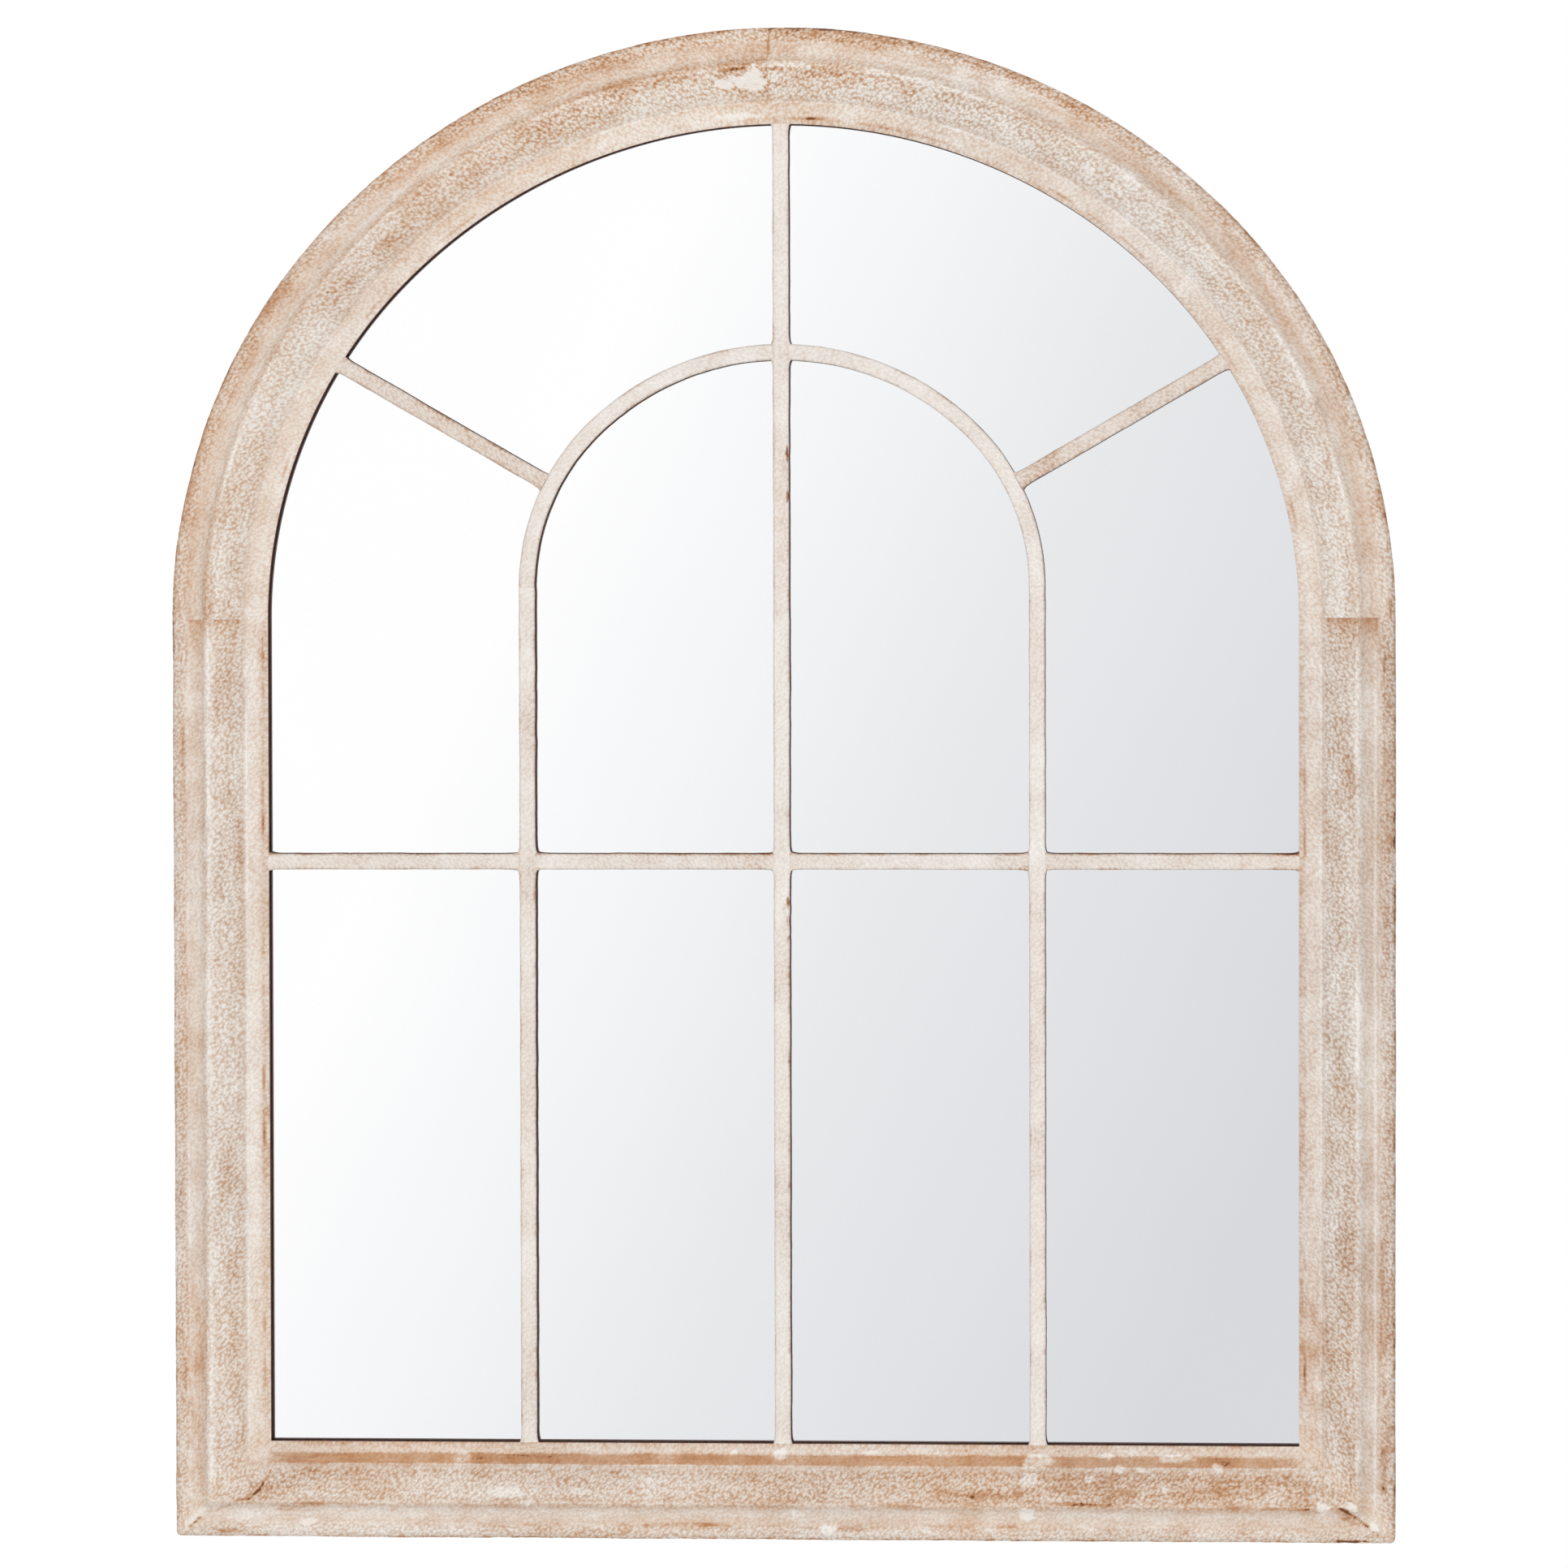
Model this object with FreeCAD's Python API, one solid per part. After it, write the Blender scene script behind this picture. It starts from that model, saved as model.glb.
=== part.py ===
import FreeCAD
import Part

import math
import os

# Arched window-pane wall mirror: a moulded timber frame, glazing bars laid over one silvered pane,
# a screwed back panel and a pair of ring hangers.
#
# Row frame: +X to the viewer's right, +Y into the wall, +Z up. The origin is on the wall plane and
# on the centre line, level with the inside top of the two hanging rings.
# Pieces are set out by x across, h in front of the frame's back face and z above the frame's foot.
# An inset is a distance in from the outer edge of the frame. All sizes are in millimetres.

# Overall outline
OVERALL_WIDTH = 690.0
OVERALL_HEIGHT = 852.0
ARCH_RISE = 332.0
HAUNCH_ANGLE = 45.0
CORNER_ROUND = 4.0
CROWN_JOINT_X = -6.0

# Moulding, band by band from the outer edge in to the sight edge
BEAD_RADIUS = 7.5
BEAD_FILLET = 1.3
BEAD_QUIRK = 1.0
COVE_WIDTH = 11.2
COVE_RISE = 6.0
COVE_SAG = 2.0
RIDGE_STEP = 1.4
RIDGE_WIDTH = 4.0
RIDGE_QUIRK = 0.9
SLOPE_WIDTH = 17.0
SLOPE_DROP = 12.4
SLOPE_CROWN = 1.0
INNER_QUIRK_WIDTH = 0.8
INNER_QUIRK_DEPTH = 0.7
INNER_STEP = 0.6
INNER_BAND_WIDTH = 10.0
INNER_BAND_FALL = 0.8
SIGHT_CHAMFER_WIDTH = 2.2
SIGHT_CHAMFER_DROP = 0.9

# Pane and backing, from the back forward
PANEL_THICKNESS = 4.0
PACKING_THICKNESS = 2.0
COAT_THICKNESS = 0.2
GLASS_THICKNESS = 3.0
LIP_THICKNESS = 6.4
GLASS_REBATE = 8.0
PANEL_LEDGE = 12.0
PANE_CLEARANCE = 1.0
PANEL_CLEARANCE = 0.5
COAT_MARGIN = 0.5

# Glazing bars
BAR_WIDTH = 9.0
BAR_EASE = 0.8
BAR_JOINT_CLEARANCE = 0.05
TONGUE_LENGTH = 5.0
TONGUE_PLAY = 0.3
UPRIGHT_OFFSET = 144.0
CROSS_BAR_DROP = 137.0
INNER_SPRING_LIFT = 18.0
INNER_ARCH_RISE = 132.0
RADIAL_ANGLE = 30.0

# Loose joinery in the frame
DOWEL_DIAMETER = 6.0
DOWEL_LENGTH = 30.0
DOWEL_INSETS = (12.0, 27.0)
DOWEL_HEIGHT = 11.0
DOWEL_CLEARANCE = 0.05
DOWEL_END_PLAY = 1.0
DOWEL_CHAMFER = 0.8
BISCUIT_LENGTH = 30.0
BISCUIT_WIDTH = 20.0
BISCUIT_THICKNESS = 4.0
BISCUIT_CLEARANCE = 0.1
BISCUIT_INSET = 22.0

# Back panel screws
PANEL_SCREWS_A_SIDE = 7
PANEL_SCREW_DIAMETER = 3.0
PANEL_SCREW_HEAD_DIAMETER = 6.0
PANEL_SCREW_HEAD_HEIGHT = 1.8
PANEL_SCREW_BITE = 8.0

# Ring hangers
STRAP_WIDTH = 11.0
STRAP_THICKNESS = 1.0
STRAP_LENGTH = 34.0
STRAP_INSET = 18.0
EYE_DROP = 50.0
EYE_CLEARANCE = 0.1
RING_WIRE_DIAMETER = 2.5
RING_WIDTH = 20.0
RING_LENGTH = 17.0
RING_CORNER_RADIUS = 3.0
RING_LEAN = 2.5
HANGER_SCREW_DIAMETER = 3.0
HANGER_SCREW_HEAD_DIAMETER = 6.0
HANGER_SCREW_HEAD_HEIGHT = 1.8
HANGER_SCREW_BITE = 14.0
HANGER_SCREW_DROPS = (9.0, 27.0)
SCREW_CLEARANCE = 0.05
SCREW_SLOT_WIDTH = 0.9
SCREW_SLOT_DEPTH = 0.9

# Wall bumpers
BUMPER_DIAMETER = 14.0
BUMPER_THICKNESS = 6.0
BUMPER_ROUND = 1.2
BUMPER_INSET = 16.0
BUMPER_LOW_HEIGHT = 84.0
BUMPER_HIGH_ANGLE = 58.0

# Heights in front of the frame's back, up from the back panel
PANEL_FRONT = PANEL_THICKNESS
PACKING_FRONT = PANEL_FRONT + PACKING_THICKNESS
COAT_FRONT = PACKING_FRONT + COAT_THICKNESS
GLASS_FRONT = COAT_FRONT + GLASS_THICKNESS
SIGHT_FRONT = GLASS_FRONT + LIP_THICKNESS
LAP_HEIGHT = GLASS_FRONT + LIP_THICKNESS / 2.0

# Insets of the moulding's lines
BEAD_END = BEAD_RADIUS
COVE_START = BEAD_END + BEAD_FILLET
RIDGE_START = COVE_START + COVE_WIDTH
SLOPE_START = RIDGE_START + RIDGE_WIDTH
SLOPE_END = SLOPE_START + SLOPE_WIDTH
INNER_START = SLOPE_END + INNER_QUIRK_WIDTH
CHAMFER_START = INNER_START + INNER_BAND_WIDTH
FACE_WIDTH = CHAMFER_START + SIGHT_CHAMFER_WIDTH
GLASS_LEDGE_INSET = FACE_WIDTH - GLASS_REBATE
PANEL_LEDGE_INSET = GLASS_LEDGE_INSET - PANEL_LEDGE

# Heights of the moulding's lines, out from the sight edge
CHAMFER_FRONT = SIGHT_FRONT + SIGHT_CHAMFER_DROP
INNER_FRONT = CHAMFER_FRONT + INNER_BAND_FALL
SLOPE_FOOT = INNER_FRONT + INNER_STEP
SLOPE_TOP = SLOPE_FOOT + SLOPE_DROP
RIDGE_FRONT = SLOPE_TOP + RIDGE_QUIRK
COVE_TOP = RIDGE_FRONT - RIDGE_STEP
COVE_FOOT = COVE_TOP - COVE_RISE
BEAD_FRONT = COVE_FOOT + BEAD_QUIRK
SIDE_FRONT = BEAD_FRONT - BEAD_RADIUS

# Heights above the foot, all carried by the spring line of the frame's arch
HALF_WIDTH = OVERALL_WIDTH / 2.0
SPRING_HEIGHT = OVERALL_HEIGHT - ARCH_RISE
INNER_SPRING_HEIGHT = SPRING_HEIGHT + INNER_SPRING_LIFT
CROSS_BAR_HEIGHT = SPRING_HEIGHT - CROSS_BAR_DROP
EYE_HEIGHT = SPRING_HEIGHT - EYE_DROP

# Wire, eye and hanging height of the ring hangers
WIRE_RADIUS = RING_WIRE_DIAMETER / 2.0
EYE_BORE_RADIUS = WIRE_RADIUS + EYE_CLEARANCE
EYE_RADIUS = EYE_BORE_RADIUS + STRAP_THICKNESS
HOOK_HEIGHT = EYE_HEIGHT + (RING_LENGTH - WIRE_RADIUS) * math.cos(math.radians(RING_LEAN))

UP = FreeCAD.Vector(0, 0, 1)
FORWARD = FreeCAD.Vector(0, -1, 0)
ACROSS = FreeCAD.Vector(1, 0, 0)
DEPTH_AXIS = FreeCAD.Vector(0, 1, 0)


def at(x, h, z):
    """Point in the row frame from x across, h before the frame's back and z above its foot."""
    return FreeCAD.Vector(x, -(BUMPER_THICKNESS + h), z - HOOK_HEIGHT)


def mirrored(shape):
    """The same shape on the other side of the centre line."""
    return shape.mirror(FreeCAD.Vector(0, 0, 0), ACROSS)


class Arch:
    """A three-centred arch: two haunch arcs and a crown arc that run into each other smoothly."""

    def __init__(self, half_span, rise, spring):
        """Set out the arcs from the half span, the rise and the height of the spring line."""
        turn = math.radians(HAUNCH_ANGLE)
        spread = (half_span - rise) / (math.sin(turn) + math.cos(turn) - 1.0)
        self.turn = turn
        self.spring = spring
        self.haunch_radius = half_span - spread * math.cos(turn)
        self.crown_radius = rise + spread * math.sin(turn)
        self.haunch_x = -(half_span - self.haunch_radius)
        self.crown_z = spring + rise - self.crown_radius

    def haunch_point(self, angle, inset, h=0.0):
        """Point on the left haunch arc, at an angle up from the spring line."""
        reach = self.haunch_radius - inset
        return at(self.haunch_x - reach * math.cos(angle), h, self.spring + reach * math.sin(angle))

    def crown_point(self, angle, inset, h=0.0):
        """Point on the crown arc, at an angle up from level on the left."""
        reach = self.crown_radius - inset
        return at(-reach * math.cos(angle), h, self.crown_z + reach * math.sin(angle))

    def left_arcs(self, inset):
        """The haunch and crown arcs of the left half, from the spring line up to the crown."""
        spring = self.haunch_point(0.0, inset)
        low = self.haunch_point(self.turn / 2.0, inset)
        join = self.haunch_point(self.turn, inset)
        high = self.crown_point((self.turn + math.pi / 2.0) / 2.0, inset)
        crown = self.crown_point(math.pi / 2.0, inset)
        return [arc(spring, low, join), arc(join, high, crown)]

    def left_half(self, section):
        """The left half of a moulding whose section stands on the left spring line."""
        degrees = math.degrees(self.turn)
        haunch_centre = at(self.haunch_x, 0.0, self.spring)
        crown_centre = at(0.0, 0.0, self.crown_z)
        haunch = section.revolve(haunch_centre, DEPTH_AXIS, degrees)
        turned = section.copy()
        turned.rotate(haunch_centre, DEPTH_AXIS, degrees)
        crown = turned.revolve(crown_centre, DEPTH_AXIS, 90.0 - degrees)
        return haunch.fuse(crown).removeSplitter()


FRAME_ARCH = Arch(HALF_WIDTH, ARCH_RISE, SPRING_HEIGHT)
INNER_ARCH = Arch(UPRIGHT_OFFSET, INNER_ARCH_RISE, INNER_SPRING_HEIGHT)


def line(start, end):
    """Straight edge."""
    return Part.LineSegment(start, end).toShape()


def arc(start, middle, end):
    """Arc edge through three points."""
    return Part.Arc(start, middle, end).toShape()


def bowed_middle(start, end, bow):
    """Middle point of an arc that bows to the left of the way from start to end."""
    dx = end[0] - start[0]
    dy = end[1] - start[1]
    length = math.hypot(dx, dy)
    middle_x = (start[0] + end[0]) / 2.0 - dy / length * bow
    middle_y = (start[1] + end[1]) / 2.0 + dx / length * bow
    return (middle_x, middle_y)


def half_outline(inset):
    """Left half of the arched outline, moved in from the outer edge: mid foot up to the crown."""
    middle = at(0.0, 0.0, inset)
    corner = at(-(HALF_WIDTH - inset), 0.0, inset)
    spring = FRAME_ARCH.haunch_point(0.0, inset)
    return [line(middle, corner), line(corner, spring)] + FRAME_ARCH.left_arcs(inset)


def sheet(inset, back, front):
    """Flat arched sheet between two heights."""
    left = half_outline(inset)
    wire = Part.Wire(Part.__sortEdges__(left + [mirrored(edge) for edge in left]))
    plate = Part.Face(wire).extrude(FORWARD * (front - back))
    plate.translate(FORWARD * back)
    return plate.removeSplitter()


def block(x0, x1, back, front, z0, z1):
    """Upright box between two corners."""
    corner = at(x0, front, z0)
    return Part.makeBox(x1 - x0, front - back, z1 - z0, corner)


def moulding_edges(place):
    """Outline of the moulding's section, with each (inset, height) put in place by a function."""
    side_top = (0.0, SIDE_FRONT)
    bead_end = (BEAD_END, BEAD_FRONT)
    bead_share = BEAD_RADIUS * (1.0 - math.sqrt(0.5))
    bead_middle = (bead_share, BEAD_FRONT - bead_share)
    cove_start = (COVE_START, COVE_FOOT)
    cove_end = (RIDGE_START, COVE_TOP)
    slope_start = (SLOPE_START, SLOPE_TOP)
    slope_end = (SLOPE_END, SLOPE_FOOT)
    quirk = (SLOPE_END + INNER_QUIRK_WIDTH / 2.0, INNER_FRONT - INNER_QUIRK_DEPTH)
    runs = [
        [(0.0, 0.0), side_top],
        [side_top, bead_middle, bead_end],
        [bead_end, (COVE_START, BEAD_FRONT)],
        [(COVE_START, BEAD_FRONT), cove_start],
        [cove_start, bowed_middle(cove_start, cove_end, -COVE_SAG), cove_end],
        [cove_end, (RIDGE_START, RIDGE_FRONT)],
        [(RIDGE_START, RIDGE_FRONT), (SLOPE_START, RIDGE_FRONT)],
        [(SLOPE_START, RIDGE_FRONT), slope_start],
        [slope_start, bowed_middle(slope_start, slope_end, SLOPE_CROWN), slope_end],
        [slope_end, quirk],
        [quirk, (INNER_START, INNER_FRONT)],
        [(INNER_START, INNER_FRONT), (CHAMFER_START, CHAMFER_FRONT)],
        [(CHAMFER_START, CHAMFER_FRONT), (FACE_WIDTH, SIGHT_FRONT)],
        [(FACE_WIDTH, SIGHT_FRONT), (FACE_WIDTH, GLASS_FRONT)],
        [(FACE_WIDTH, GLASS_FRONT), (GLASS_LEDGE_INSET, GLASS_FRONT)],
        [(GLASS_LEDGE_INSET, GLASS_FRONT), (GLASS_LEDGE_INSET, PANEL_FRONT)],
        [(GLASS_LEDGE_INSET, PANEL_FRONT), (PANEL_LEDGE_INSET, PANEL_FRONT)],
        [(PANEL_LEDGE_INSET, PANEL_FRONT), (PANEL_LEDGE_INSET, 0.0)],
        [(PANEL_LEDGE_INSET, 0.0), (0.0, 0.0)],
    ]
    edges = []
    for run in runs:
        points = [place(inset, height) for inset, height in run]
        edges.append(line(*points) if len(points) == 2 else arc(*points))
    return edges


def stile_section(z):
    """Moulding section of the left stile, lying level at a height."""
    edges = moulding_edges(lambda inset, height: at(-HALF_WIDTH + inset, height, z))
    return Part.Face(Part.Wire(edges))


def rail_section(x):
    """Moulding section of the bottom rail, standing upright."""
    edges = moulding_edges(lambda inset, height: at(x, height, inset))
    return Part.Face(Part.Wire(edges))


def prism(corners):
    """Upright prism through the whole depth of the frame, over corners given as (x, z)."""
    points = [at(x, -1.0, z) for x, z in corners]
    edges = [line(a, b) for a, b in zip(points, points[1:] + points[:1])]
    return Part.Face(Part.Wire(edges)).extrude(FORWARD * (RIDGE_FRONT + 2.0))


def corner_waste():
    """What the rounding takes off the left bottom corner."""
    low_x = -HALF_WIDTH - 1.0
    x = -HALF_WIDTH + CORNER_ROUND
    z = CORNER_ROUND
    square = prism([(low_x, -1.0), (x, -1.0), (x, z), (low_x, z)])
    round_part = Part.makeCylinder(CORNER_ROUND, RIDGE_FRONT + 4.0, at(x, -2.0, z), FORWARD)
    return square.cut(round_part)


def rod(radius, start, end, chamfer=0.0):
    """Round rod between two points, with chamfered ends where asked."""
    way = end.sub(start)
    length = way.Length
    if chamfer == 0.0:
        return Part.makeCylinder(radius, length, start, way)
    way.normalize()
    tip = Part.makeCone(radius - chamfer, radius, chamfer, start, way)
    body = Part.makeCylinder(radius, length - 2.0 * chamfer, start.add(way * chamfer), way)
    tail = Part.makeCone(radius, radius - chamfer, chamfer, end.sub(way * chamfer), way)
    return tip.fuse([body, tail]).removeSplitter()


def dowel_rods(middles, way, radius, length, chamfer=0.0):
    """Rods of one joint, each centred on its point in the joint."""
    half = way * (length / 2.0)
    return [rod(radius, middle.sub(half), middle.add(half), chamfer) for middle in middles]


def crown_middles():
    """Centres of the dowels in the crown joint."""
    return [at(CROWN_JOINT_X, DOWEL_HEIGHT, OVERALL_HEIGHT - inset) for inset in DOWEL_INSETS]


def spring_middles():
    """Centres of the dowels in the left spring joint."""
    return [FRAME_ARCH.haunch_point(0.0, inset, DOWEL_HEIGHT) for inset in DOWEL_INSETS]


def dowels(middles, way):
    """The loose dowels of one joint."""
    return Part.makeCompound(dowel_rods(middles, way, DOWEL_DIAMETER / 2.0, DOWEL_LENGTH, DOWEL_CHAMFER))


def dowel_holes(middles, way):
    """The holes for the dowels of one joint."""
    radius = DOWEL_DIAMETER / 2.0 + DOWEL_CLEARANCE
    return dowel_rods(middles, way, radius, DOWEL_LENGTH + 2.0 * DOWEL_END_PLAY)


def biscuit_blank(clearance):
    """Lens-shaped loose tongue of the left mitre, grown by a clearance."""
    half_length = BISCUIT_LENGTH / 2.0 + clearance
    half_width = BISCUIT_WIDTH / 2.0 + clearance
    low = DOWEL_HEIGHT - BISCUIT_THICKNESS / 2.0 - clearance
    share = math.sqrt(0.5)

    def place(along, over):
        x = -HALF_WIDTH + BISCUIT_INSET + (along - over) * share
        return at(x, low, BISCUIT_INSET + (along + over) * share)

    first = arc(place(-half_length, 0.0), place(0.0, half_width), place(half_length, 0.0))
    second = arc(place(half_length, 0.0), place(0.0, -half_width), place(-half_length, 0.0))
    return Part.Face(Part.Wire([first, second])).extrude(FORWARD * (BISCUIT_THICKNESS + 2.0 * clearance))


def bar_section(origin, across, width, back, front, ease):
    """Section of a glazing bar: flat back, two eased front edges."""
    half = width / 2.0

    def place(offset, height):
        return origin.add(across * offset).add(FORWARD * height)

    if ease == 0.0:
        corners = [place(-half, back), place(-half, front), place(half, front), place(half, back)]
        edges = [line(a, b) for a, b in zip(corners, corners[1:] + corners[:1])]
        return Part.Face(Part.Wire(edges))
    share = ease * (1.0 - math.sqrt(0.5))
    low = front - ease
    mid = front - share
    left_round = (place(-half, low), place(-half + share, mid), place(-half + ease, front))
    right_round = (place(half - ease, front), place(half - share, mid), place(half, low))
    edges = [
        line(place(-half, back), left_round[0]),
        arc(*left_round),
        line(left_round[2], right_round[0]),
        arc(*right_round),
        line(right_round[2], place(half, back)),
        line(place(half, back), place(-half, back)),
    ]
    return Part.Face(Part.Wire(edges))


def straight_bar(start, end, width=BAR_WIDTH, back=GLASS_FRONT, front=SIGHT_FRONT, ease=BAR_EASE):
    """Straight glazing bar between two (x, z) points on its centre line."""
    first = at(start[0], 0.0, start[1])
    way = at(end[0], 0.0, end[1]).sub(first)
    across = FreeCAD.Vector(way.z, 0.0, -way.x)
    across.normalize()
    return bar_section(first, across, width, back, front, ease).extrude(way)


def curved_bar(width=BAR_WIDTH, back=GLASS_FRONT, front=SIGHT_FRONT, ease=BAR_EASE):
    """Left half of the inner arch's glazing bar."""
    start = INNER_ARCH.haunch_point(0.0, 0.0)
    return INNER_ARCH.left_half(bar_section(start, ACROSS, width, back, front, ease))


def radial_line():
    """Ends of the left radial bar's centre line, from the springing centre to past the frame."""
    turn = math.radians(RADIAL_ANGLE)
    reach = OVERALL_WIDTH / 2.0
    return ((0.0, SPRING_HEIGHT), (-reach * math.cos(turn), SPRING_HEIGHT + reach * math.sin(turn)))


def straight_runs():
    """Centre lines of the bars that end in the frame, as (start, end)."""
    radial_start, radial_end = radial_line()
    return {
        "centre_bar": ((0.0, 0.0), (0.0, OVERALL_HEIGHT)),
        "cross_bar": ((-HALF_WIDTH, CROSS_BAR_HEIGHT), (HALF_WIDTH, CROSS_BAR_HEIGHT)),
        "left_upright_bar": ((-UPRIGHT_OFFSET, 0.0), (-UPRIGHT_OFFSET, INNER_SPRING_HEIGHT)),
        "left_radial_bar": (radial_start, radial_end),
    }


def outside_of_sight(back, front):
    """Everything outside the sight edge between two heights."""
    return sheet(0.0, back, front).cut(sheet(FACE_WIDTH, back, front))


def under_inner_arch(inset, back, front):
    """Left half of the space under the inner arch, out to an inset from its centre line."""
    foot = at(0.0, 0.0, INNER_SPRING_HEIGHT)
    spring = INNER_ARCH.haunch_point(0.0, inset)
    crown = INNER_ARCH.crown_point(math.pi / 2.0, inset)
    edges = [line(foot, spring)] + INNER_ARCH.left_arcs(inset) + [line(crown, foot)]
    fill = Part.Face(Part.Wire(edges)).extrude(FORWARD * (front - back))
    fill.translate(FORWARD * back)
    return fill


def tongue_notches():
    """Notches in the back of the frame's lip for the tongues of the straight bars."""
    width = BAR_WIDTH + 2.0 * BAR_JOINT_CLEARANCE
    reach = FACE_WIDTH - TONGUE_LENGTH - TONGUE_PLAY
    back = GLASS_FRONT - 1.0
    front = LAP_HEIGHT + BAR_JOINT_CLEARANCE
    ring = sheet(reach, back, front).cut(sheet(FACE_WIDTH + 1.0, back, front))
    notches = []
    for name, (start, end) in straight_runs().items():
        notch = straight_bar(start, end, width, back, front, 0.0).common(ring)
        notches.append(notch)
        if name.startswith("left"):
            notches.append(mirrored(notch))
    return notches


def seated_bar(name):
    """A straight bar cut to end in shoulders at the sight edge, with tongues under the lip."""
    start, end = straight_runs()[name]
    bar = straight_bar(start, end)
    bar = bar.common(sheet(FACE_WIDTH - TONGUE_LENGTH, GLASS_FRONT - 1.0, SIGHT_FRONT + 1.0))
    return bar.cut(outside_of_sight(LAP_HEIGHT, SIGHT_FRONT + 1.0))


def cross_lap(x, back, front):
    """Waste of the lap where an upright at x crosses the cross bar, between two heights."""
    half = BAR_WIDTH / 2.0 + BAR_JOINT_CLEARANCE
    return block(x - half, x + half, back, front, CROSS_BAR_HEIGHT - half, CROSS_BAR_HEIGHT + half)


def centre_bar():
    """Full height glazing bar, lapped over the cross bar."""
    return seated_bar("centre_bar").cut(cross_lap(0.0, GLASS_FRONT - 1.0, LAP_HEIGHT))


def cross_bar():
    """Level glazing bar, lapped under the three uprights."""
    laps = [cross_lap(x, LAP_HEIGHT, SIGHT_FRONT + 1.0) for x in (-UPRIGHT_OFFSET, 0.0, UPRIGHT_OFFSET)]
    return seated_bar("cross_bar").cut(laps)


def upright_bar():
    """Left upright, lapped over the cross bar and butted to the foot of the inner arch."""
    return seated_bar("left_upright_bar").cut(cross_lap(-UPRIGHT_OFFSET, GLASS_FRONT - 1.0, LAP_HEIGHT))


def inner_arch():
    """Left half of the inner arch: stands on the upright and is notched for the radial bar."""
    half = BAR_WIDTH / 2.0 + BAR_JOINT_CLEARANCE
    back = GLASS_FRONT - 1.0
    front = SIGHT_FRONT + 1.0
    crown_waste = block(-half, half, back, front, INNER_SPRING_HEIGHT, OVERALL_HEIGHT)
    start, end = radial_line()
    width = BAR_WIDTH + 2.0 * BAR_JOINT_CLEARANCE
    lap = straight_bar(start, end, width, back, LAP_HEIGHT + BAR_JOINT_CLEARANCE, 0.0)
    lap = lap.cut(under_inner_arch(BAR_JOINT_CLEARANCE, back - 1.0, front))
    return curved_bar().cut([crown_waste, lap])


def radial_bar():
    """Left radial bar: shouldered at the inner arch and at the frame, with a tongue under each."""
    bar = seated_bar("left_radial_bar")
    edge = -(BAR_WIDTH / 2.0 + BAR_JOINT_CLEARANCE)
    over = under_inner_arch(edge, LAP_HEIGHT, SIGHT_FRONT + 2.0)
    under = under_inner_arch(0.0, GLASS_FRONT - 2.0, LAP_HEIGHT)
    below = block(-HALF_WIDTH, HALF_WIDTH, GLASS_FRONT - 2.0, SIGHT_FRONT + 2.0, 0.0, INNER_SPRING_HEIGHT)
    return bar.cut([over, under, below])


def pane_inset():
    """Inset of the pane's own edge."""
    return GLASS_LEDGE_INSET + PANE_CLEARANCE


def mirror_glass():
    """One arched pane behind all the bars."""
    return sheet(pane_inset(), COAT_FRONT, GLASS_FRONT)


def silver_coat():
    """Silvered and painted back of the pane."""
    return sheet(pane_inset() + COAT_MARGIN, PACKING_FRONT, COAT_FRONT)


def packing_sheet():
    """Soft sheet between the pane and the back panel."""
    return sheet(pane_inset(), PANEL_FRONT, PACKING_FRONT)


def screw(diameter, head_diameter, head_height, length):
    """Wood screw with a domed, slotted head, seated at the origin and pointing forward."""
    shank = diameter / 2.0
    head = head_diameter / 2.0
    rim = head_height * 0.35
    tip = diameter * 1.2

    def place(reach, forward):
        return ACROSS * reach + FORWARD * forward

    shoulder = (head * 0.72, -(rim + (head_height - rim) * 0.72))
    edges = [
        line(place(0.0, -head_height), place(0.0, length)),
        line(place(0.0, length), place(shank, length - tip)),
        line(place(shank, length - tip), place(shank, 0.0)),
        line(place(shank, 0.0), place(head, 0.0)),
        line(place(head, 0.0), place(head, -rim)),
        arc(place(head, -rim), place(*shoulder), place(0.0, -head_height)),
    ]
    body = Part.Face(Part.Wire(edges)).revolve(FreeCAD.Vector(0, 0, 0), DEPTH_AXIS, 360.0)
    corner = FreeCAD.Vector(-head, head_height - SCREW_SLOT_DEPTH, -SCREW_SLOT_WIDTH / 2.0)
    slot = Part.makeBox(head_diameter, head_height, SCREW_SLOT_WIDTH, corner)
    return body.cut(slot)


def panel_screw_points():
    """Places of the panel screws, evenly along the middle of the panel's ledge, none on a joint."""
    half = Part.Wire(half_outline(PANEL_LEDGE_INSET + PANEL_LEDGE / 2.0))
    left = half.discretize(Number=2 * PANEL_SCREWS_A_SIDE + 1)[1::2]
    return left + [FreeCAD.Vector(-point.x, point.y, point.z) for point in left]


def panel_screws():
    """The screws that hold the back panel."""
    pattern = screw(
        PANEL_SCREW_DIAMETER,
        PANEL_SCREW_HEAD_DIAMETER,
        PANEL_SCREW_HEAD_HEIGHT,
        PANEL_THICKNESS + PANEL_SCREW_BITE,
    )
    return Part.makeCompound([moved(pattern, point) for point in panel_screw_points()])


def moved(shape, point):
    """A copy of a shape carried to a point."""
    copy = shape.copy()
    copy.translate(point)
    return copy


def panel_screw_holes():
    """Holes for the panel screws, through the panel and into the frame."""
    radius = PANEL_SCREW_DIAMETER / 2.0 + SCREW_CLEARANCE
    depth = PANEL_THICKNESS + PANEL_SCREW_BITE + 0.5
    points = panel_screw_points()
    return [Part.makeCylinder(radius, depth + 1.0, point.sub(FORWARD), FORWARD) for point in points]


def back_panel():
    """Thin board set flush into the back of the frame."""
    return sheet(PANEL_LEDGE_INSET + PANEL_CLEARANCE, 0.0, PANEL_FRONT).cut(panel_screw_holes())


def strap_x():
    """Distance of a hanger from the centre line, to the left."""
    return -(HALF_WIDTH - STRAP_INSET)


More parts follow.
